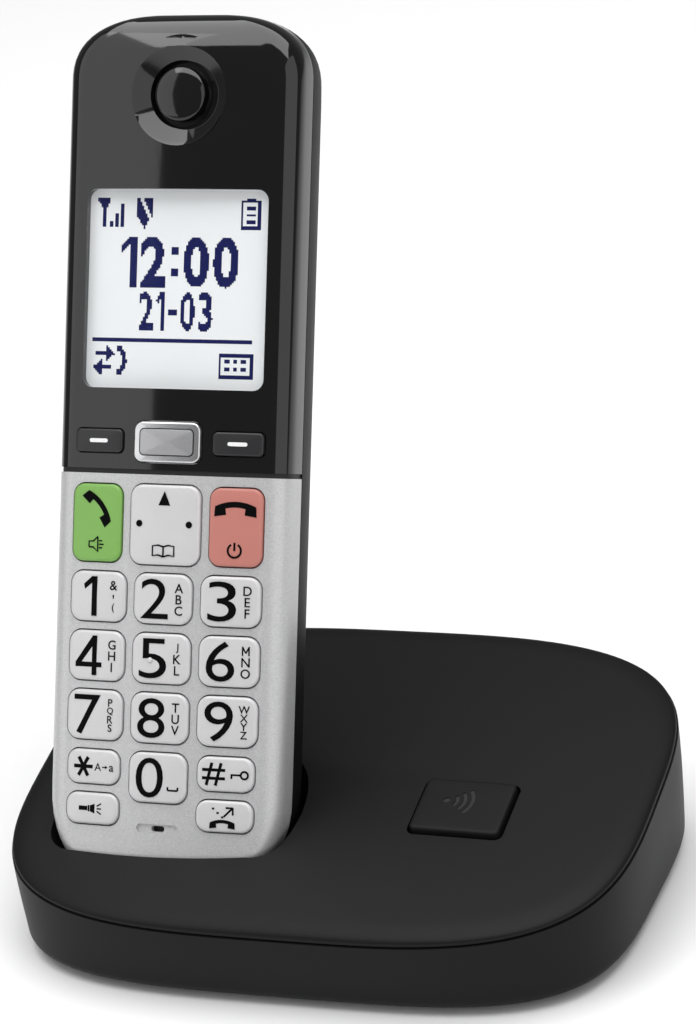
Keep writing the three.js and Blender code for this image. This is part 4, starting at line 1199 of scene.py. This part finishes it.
class PHONE_OT_upper_case(bpy.types.Operator):
    """Build the polished upper front case with its window and earpiece dish"""

    bl_idname = "phone.upper_case"
    bl_label = "Upper Front Case"

    def execute(self, context):
        case = case_part("upper_case", -5, CASE_SEAM - SEAM, PANEL_SEAM + 1, 200)
        boss = turned_y("boss", [(12.2, 1.2), (12.2, 3.4)], 0, EAR_Z, 64)
        combine(case, "UNION", boss)
        dish = [(13.0, -2.4), (10.7, 0.0), (10.5, 0.28), (9.6, 0.8), (7.0, 2.1), (6.7, 2.6)]
        dish += [(6.6, 6)]
        cut(case, turned_y("dish", dish, 0, EAR_Z, 96))
        cut(case, face_slab("window", window_shape(GAP), -2, 6))
        cut(case, *key_holes())
        cut(case, torch_hole())
        edge, node = context.scene.phone_handset.edge, "front_upper_case"
        dress(case, polished_black, "handset", "gloss_black", [node], bevel=edge, angle=30.0)
        tongue = cut(handset_solid("seam_tongue", -0.3), handset_solid("inside", -CASE_WALL))
        zone = (-CASE_SIDE, CASE_SIDE, -5, CASE_SEAM - SEAM, PANEL_SEAM, PANEL_SEAM + 1.3)
        combine(tongue, "INTERSECT", block("zone", *zone))
        dress(tongue, deep_black, "handset", "gloss_black")
        return {"FINISHED"}


def lid_shape(grow):
    """The battery cover's outline, pushed out by grow."""
    w, h, corner = LID_SIZE
    return rounded_rectangle(w + 2 * grow, h + 2 * grow, corner + grow, 0, LID_Z)


class PHONE_OT_rear_case(bpy.types.Operator):
    """Build the rear case, its battery bay and its sound holes"""

    bl_idname = "phone.rear_case"
    bl_label = "Rear Case"

    def execute(self, context):
        case = case_part("rear_shell", CASE_SEAM + SEAM, CASE_SIDE, -5, 200)
        cut(case, face_slab("lid_zone", lid_shape(2 * GAP), SHELF_BACK, 30))
        depths = SHELF_BACK - SHELF_WALL, SHELF_BACK
        shelf = block("shelf", -SHELF_HALF, SHELF_HALF, *depths, *SHELF_Z)
        combine(shelf, "INTERSECT", handset_solid("trim", -0.4))
        combine(case, "UNION", shelf)
        half, low, high = BAY_HALF + BAY_WALL, BAY_Z[0] - BAY_WALL, BAY_Z[1] + BAY_WALL
        depths = BAY_FRONT - BAY_WALL, SHELF_BACK - 0.2
        combine(case, "UNION", block("bay", -half, half, *depths, low, high))
        cut(case, block("hollow", -BAY_HALF, BAY_HALF, BAY_FRONT, 30, *BAY_Z))
        slots = grown("slots", rib_tree(), Count=5, Pitch=3.0, Length=7.0, Radius=0.62)
        place = Matrix.Translation((0, HANDSET_DEPTH - 0.4, SOUND_SLOTS_Z))
        slots.data.transform(place @ Matrix.Diagonal((1, 4, 1, 1)))
        cut(case, slots)
        sink = [(SCREW_SINK_RADIUS, y) for y in (SCREW_SINK_FRONT, 30)]
        for x in (-SCREW_X, SCREW_X):
            cut(case, turned_y("sink", sink, x, SCREW_Z, 24))
        cut(case, *contact_slots())
        cut(case, torch_hole())
        dress(case, moulded_black, "handset", "charcoal", ["rear_case"], bevel=0.25)
        return {"FINISHED"}


class PHONE_OT_battery_cover(bpy.types.Operator):
    """Build the battery cover with its thumb ribs"""

    bl_idname = "phone.battery_cover"
    bl_label = "Battery Cover"

    def execute(self, context):
        cover = handset_solid("battery_lid")
        zone = face_slab("zone", lid_shape(0), HANDSET_DEPTH - CASE_WALL, 30)
        combine(cover, "INTERSECT", zone)
        ribs = grown("ribs", rib_tree(), Count=6, Pitch=2.0, Length=6.5, Radius=0.55)
        ribs.data.transform(Matrix.Translation((0, HANDSET_DEPTH, THUMB_RIBS_Z)))
        cut(cover, ribs)
        node = "battery_cover"
        dress(cover, moulded_black, node, "charcoal", [node], bevel=0.2)
        return {"FINISHED"}


def key_top(x, sag=0.0):
    return crown(x) - KEY_PROUD - sag


def key_cap(name, shoulder):
    """A key from its hidden flange, over its rounded shoulder, to its slightly domed face."""
    cx, cz, (w, h, r) = KEYS[name]
    under = crown(abs(cx) + w / 2) + KEY_FLANGE_DEPTH + DEEPER_FLANGES.get(name, 0.0)
    rings = []

    def ring(wide, high, corner, depth):
        shape = rounded_rectangle(wide, high, corner, cx, cz)
        rings.append([(x, depth(x), z) for x, z in shape])

    for grow, y in ((KEY_FLANGE, under + KEY_FLANGE_WALL), (KEY_FLANGE, under), (0, under)):
        ring(w + 2 * grow, h + 2 * grow, r + grow, lambda x: y)
    for a in (math.pi / 2 * i / 7 for i in range(8)):
        inset, drop = shoulder * (1 - math.cos(a)), 0.65 * shoulder * (1 - math.sin(a))
        ring(w - 2 * inset, h - 2 * inset, r - inset, lambda x: key_top(x) + drop)
    for share in (0.86, 0.68, 0.48, 0.28, 0.1):
        wide, high = (w - 2 * shoulder) * share, (h - 2 * shoulder) * share
        dome = KEY_DOME * (1 - share**2)
        ring(wide, high, (r - shoulder) * share, lambda x: key_top(x, dome))
    return loft(name + "_cap", rings)


def centre_key_plates():
    """The brushed face of the centre key and the dark line around it."""
    cx, cz, (w, h, _) = KEYS["centre_key"]

    def plate(name, *levels):
        rings = []
        for narrow, corner, lift in levels:
            shape = rounded_rectangle(w - narrow, h - narrow, corner, cx, cz)
            rings.append([(x, key_top(x) - lift, z) for x, z in shape])
        return loft(name, rings)

    face = plate("centre_key_face", (3.0, 0.9, 0), (3.0, 0.9, 0.16), (3.4, 0.7, 0.22))
    dress(face, brushed_centre, "centre_key", "bright_silver", angle=60)
    line = plate("centre_key_line", (2.5, 1.1, 0), (2.5, 1.1, 0.08))
    dress(line, deep_black, "centre_key", "bright_silver", angle=60)


KEY_LOOKS = {
    "key_talk": (green_keycap, "green"),
    "key_hang_up": (red_keycap, "red"),
    "soft_key_left": (soft_black_keycap, "soft_black"),
    "soft_key_right": (soft_black_keycap, "soft_black"),
    "centre_key": (bright_plating, "bright_silver"),
}


class PHONE_OT_keys(bpy.types.Operator):
    """Build every key of the handset with its printing"""

    bl_idname = "phone.keys"
    bl_label = "Keys"

    def execute(self, context):
        look = context.scene.phone_keys
        for name, (cx, cz, _) in KEYS.items():
            make, slot = KEY_LOOKS.get(name, (silver_keycap, "key_silver"))
            cap = key_cap(name, look.shoulder * (0.6 if cz == SOFT_Z else 1.0))
            dress(cap, make, name, slot, [name], angle=60)
            placed = [moved(s, cx, cz) for s in key_printing(name)]
            if placed:
                ink = white_print if name.startswith("soft") else black_print
                marks = decal(name + "_print", placed, lambda x, z: key_top(x, KEY_DOME))
                dress(marks, ink, name, slot)
            if name == "key_5":
                dome = [(0.62, 0.3), (0.6, 0.0), (0.5, -0.2), (0.32, -0.33), (0.12, -0.38)]
                profile = [(q, key_top(cx, KEY_DOME) + y) for q, y in dome]
                nub = turned_y("key_5_nub", profile, cx - 2.2, cz - 0.4, 20)
                dress(nub, make, name, slot)
            if name == "centre_key":
                centre_key_plates()
        return {"FINISHED"}


class PHONE_OT_display(bpy.types.Operator):
    """Build the display, what it shows, and its window"""

    bl_idname = "phone.display"
    bl_label = "Display"

    def execute(self, context):
        panel = rounded_rectangle(*DISPLAY_SIZE, 0, WINDOW_Z)
        module = face_slab("display_panel", panel, DISPLAY_FRONT, DISPLAY_BACK)
        dress(module, display_white, "handset", "display_white", ["display_module"], bevel=0.2)
        dot = context.scene.phone_display.dot
        shapes = dotted(display_shapes(), WINDOW_W / 2, WINDOW_H / 2, dot)
        shapes = [moved(s, 0, WINDOW_Z) for s in shapes]
        ink = decal("display_dots", shapes, lambda x, z: DISPLAY_FRONT, 0.04, 0.02)
        dress(ink, display_ink, "handset", "display_white")
        pane = cut(handset_solid("window_pane", -0.3), handset_solid("inside", -1.3))
        combine(pane, "INTERSECT", face_slab("zone", window_shape(0), -2, 10))
        dress(pane, clear_plastic, "handset", "clear", ["display_window"], bevel=0.15)
        return {"FINISHED"}


class PHONE_OT_earpiece(bpy.types.Operator):
    """Build the earpiece's domed cap"""

    bl_idname = "phone.earpiece"
    bl_label = "Earpiece"

    def execute(self, context):
        dome = [(7.4, 4.5), (7.4, 3.75), (5.6, 3.7), (5.6, 1.25), (5.45, 0.9), (5.0, 0.65)]
        dome += [(3.9, 0.45), (2.6, 0.33), (1.1, 0.28)]
        cap = turned_y("earpiece_dome", dome, 0, EAR_Z, 64)
        dress(cap, polished_black, "handset", "gloss_black", ["earpiece_cap"], bevel=0.1)
        return {"FINISHED"}


class PHONE_OT_battery_springs(bpy.types.Operator):
    """Build the coil springs that press on the cells"""

    bl_idname = "phone.battery_springs"
    bl_label = "Battery Springs"

    def execute(self, context):
        tree = coil_tree()
        for name, side, wall in (("left", -1, 98.4), ("right", 1, 47.6)):
            metal = finish_of(spring_metal)
            spring = grown(f"cell_spring_{name}", tree, Height=2.9, Material=metal)
            place = Matrix.Translation((side * CELL_X, CELL_DEPTH, wall))
            spring.data.transform(place @ Matrix.Diagonal((1, 1, side, 1)))
            if side < 0:
                spring.data.flip_normals()
            node = f"battery_spring_{name}"
            dress(spring, spring_metal, "handset", "metal", [node], angle=60)
        return {"FINISHED"}


class PHONE_OT_inner_parts(bpy.types.Operator):
    """Give the parts that are taken as they are their finishes"""

    bl_idname = "phone.inner_parts"
    bl_label = "Inner Parts"

    def execute(self, context):
        finishes = (
            ("circuit_board", circuit_board),
            ("keypad_mat", silicone_mat),
            ("navigator_saddle", silicone_mat),
            ("battery_left", cell_sleeve),
            ("battery_right", cell_sleeve),
            ("socket", deep_black),
            ("microphone", deep_black),
            ("torch_lens", clear_plastic),
        )
        for name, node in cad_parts.items():
            make = next((m for part, m in finishes if part in name), spring_metal)
            node.data.materials.clear()
            node.data.materials.append(finish_of(make))
        return {"FINISHED"}


# ---- Stage ---------------------------------------------------------------------------------------
CAMERA_AT = BASE @ Vector((297.85, -671.88, 442.4))
AZIMUTH, ELEVATION, ROLL = math.radians(23.19), math.radians(25.86), math.radians(-8.52)
LENS = 142.94


def area_light(name, at, target, width, height, power, roll=0.0):
    data = bpy.data.lights.new(name, "AREA")
    data.shape, data.size, data.size_y, data.energy = "RECTANGLE", width, height, power
    light = linked(name, data)
    light.location = at
    facing = (Vector(target) - Vector(at)).to_track_quat("-Z", "Y")
    rolled = facing.to_matrix() @ Matrix.Rotation(math.radians(roll), 3, "Z")
    light.rotation_euler = rolled.to_euler()


class PHONE_OT_stage(bpy.types.Operator):
    """Build the floor, the lights and the camera"""

    bl_idname = "phone.stage"
    bl_label = "Stage"

    def execute(self, context):
        look = context.scene.phone_stage
        corners = [(-4, -4, 0), (4, -4, 0), (4, 4, 0), (-4, 4, 0)]
        floor = mesh_object("floor", corners, [(0, 1, 2, 3)])
        f = Finish("floor_paint")
        pale = tuple(look.floor_colour)
        paint = f.mix(f.noise(4.0), shade(pale, 0.99), pale)
        floor.data.materials.append(f.set(Base_Color=paint, Roughness=0.9))

        context.scene.view_settings.view_transform = "Standard"
        world = bpy.data.worlds.new("studio")
        context.scene.world = world
        world.use_nodes = True
        sky = world.node_tree.nodes["Background"].inputs
        sky["Color"].default_value, sky["Strength"].default_value = (1, 1, 1, 1), 0.16

        top = look.key_light
        area_light("top_light", (0, 0.05, 1.3), (0, 0, 0), 1.5, 1.5, top)
        card = (-0.94, -0.591, 0.955), (-0.17, 0.299, 0.545)
        area_light("left_card", *card, 0.84, 2.0, 0.25 * top, 16.8)
        area_light("right_light", (0.9, -0.63, 0.45), (0, 0, 0.08), 1.5, 1.5, 0.28 * top)

        camera = linked("camera", bpy.data.cameras.new("camera"))
        level = Vector((math.cos(AZIMUTH), math.sin(AZIMUTH), 0))
        forward = Vector((-math.sin(AZIMUTH), math.cos(AZIMUTH), 0))
        ahead = forward * math.cos(ELEVATION) - Vector((0, 0, math.sin(ELEVATION)))
        rise = level.cross(ahead)
        right = math.cos(ROLL) * level + math.sin(ROLL) * rise
        up = math.cos(ROLL) * rise - math.sin(ROLL) * level
        turn = Matrix((right, up, -ahead)).transposed()
        camera.matrix_world = Matrix.Translation(CAMERA_AT) @ turn.to_4x4()
        camera.data.lens, camera.data.sensor_width = LENS, 36.0
        camera.data.clip_start, camera.data.clip_end = 0.01, 50
        context.scene.camera = camera
        return {"FINISHED"}


class PHONE_PT_panel(bpy.types.Panel):
    bl_idname = "PHONE_PT_panel"
    bl_label = "Cordless Phone"
    bl_space_type = "VIEW_3D"
    bl_region_type = "UI"
    bl_category = "Phone"

    def draw(self, context):
        for group in GROUPS:
            box = self.layout.box()
            settings = getattr(context.scene, group)
            for name in settings.bl_rna.properties.keys():
                if name not in ("name", "rna_type"):
                    box.prop(settings, name)
        for operator in OPERATORS:
            self.layout.operator(operator.bl_idname)


GROUPS = {
    "phone_base": PhoneBaseSettings,
    "phone_handset": PhoneHandsetSettings,
    "phone_keys": PhoneKeySettings,
    "phone_display": PhoneDisplaySettings,
    "phone_stage": PhoneStageSettings,
}
OPERATORS = (
    PHONE_OT_stage,
    PHONE_OT_inner_parts,
    PHONE_OT_lower_housing,
    PHONE_OT_top_cover,
    PHONE_OT_feet,
    PHONE_OT_locator,
    PHONE_OT_lower_case,
    PHONE_OT_upper_case,
    PHONE_OT_rear_case,
    PHONE_OT_battery_cover,
    PHONE_OT_keys,
    PHONE_OT_display,
    PHONE_OT_earpiece,
    PHONE_OT_battery_springs,
)
CLASSES = (*GROUPS.values(), *OPERATORS, PHONE_PT_panel)


def register():
    for cls in CLASSES:
        bpy.utils.register_class(cls)
    for name, cls in GROUPS.items():
        setattr(bpy.types.Scene, name, bpy.props.PointerProperty(type=cls))


def unregister():
    for name in GROUPS:
        delattr(bpy.types.Scene, name)
    for cls in reversed(CLASSES):
        bpy.utils.unregister_class(cls)


def main():
    register()
    for operator in OPERATORS:
        group, name = operator.bl_idname.split(".")
        getattr(getattr(bpy.ops, group), name)()


if __name__ == "__main__":
    main()
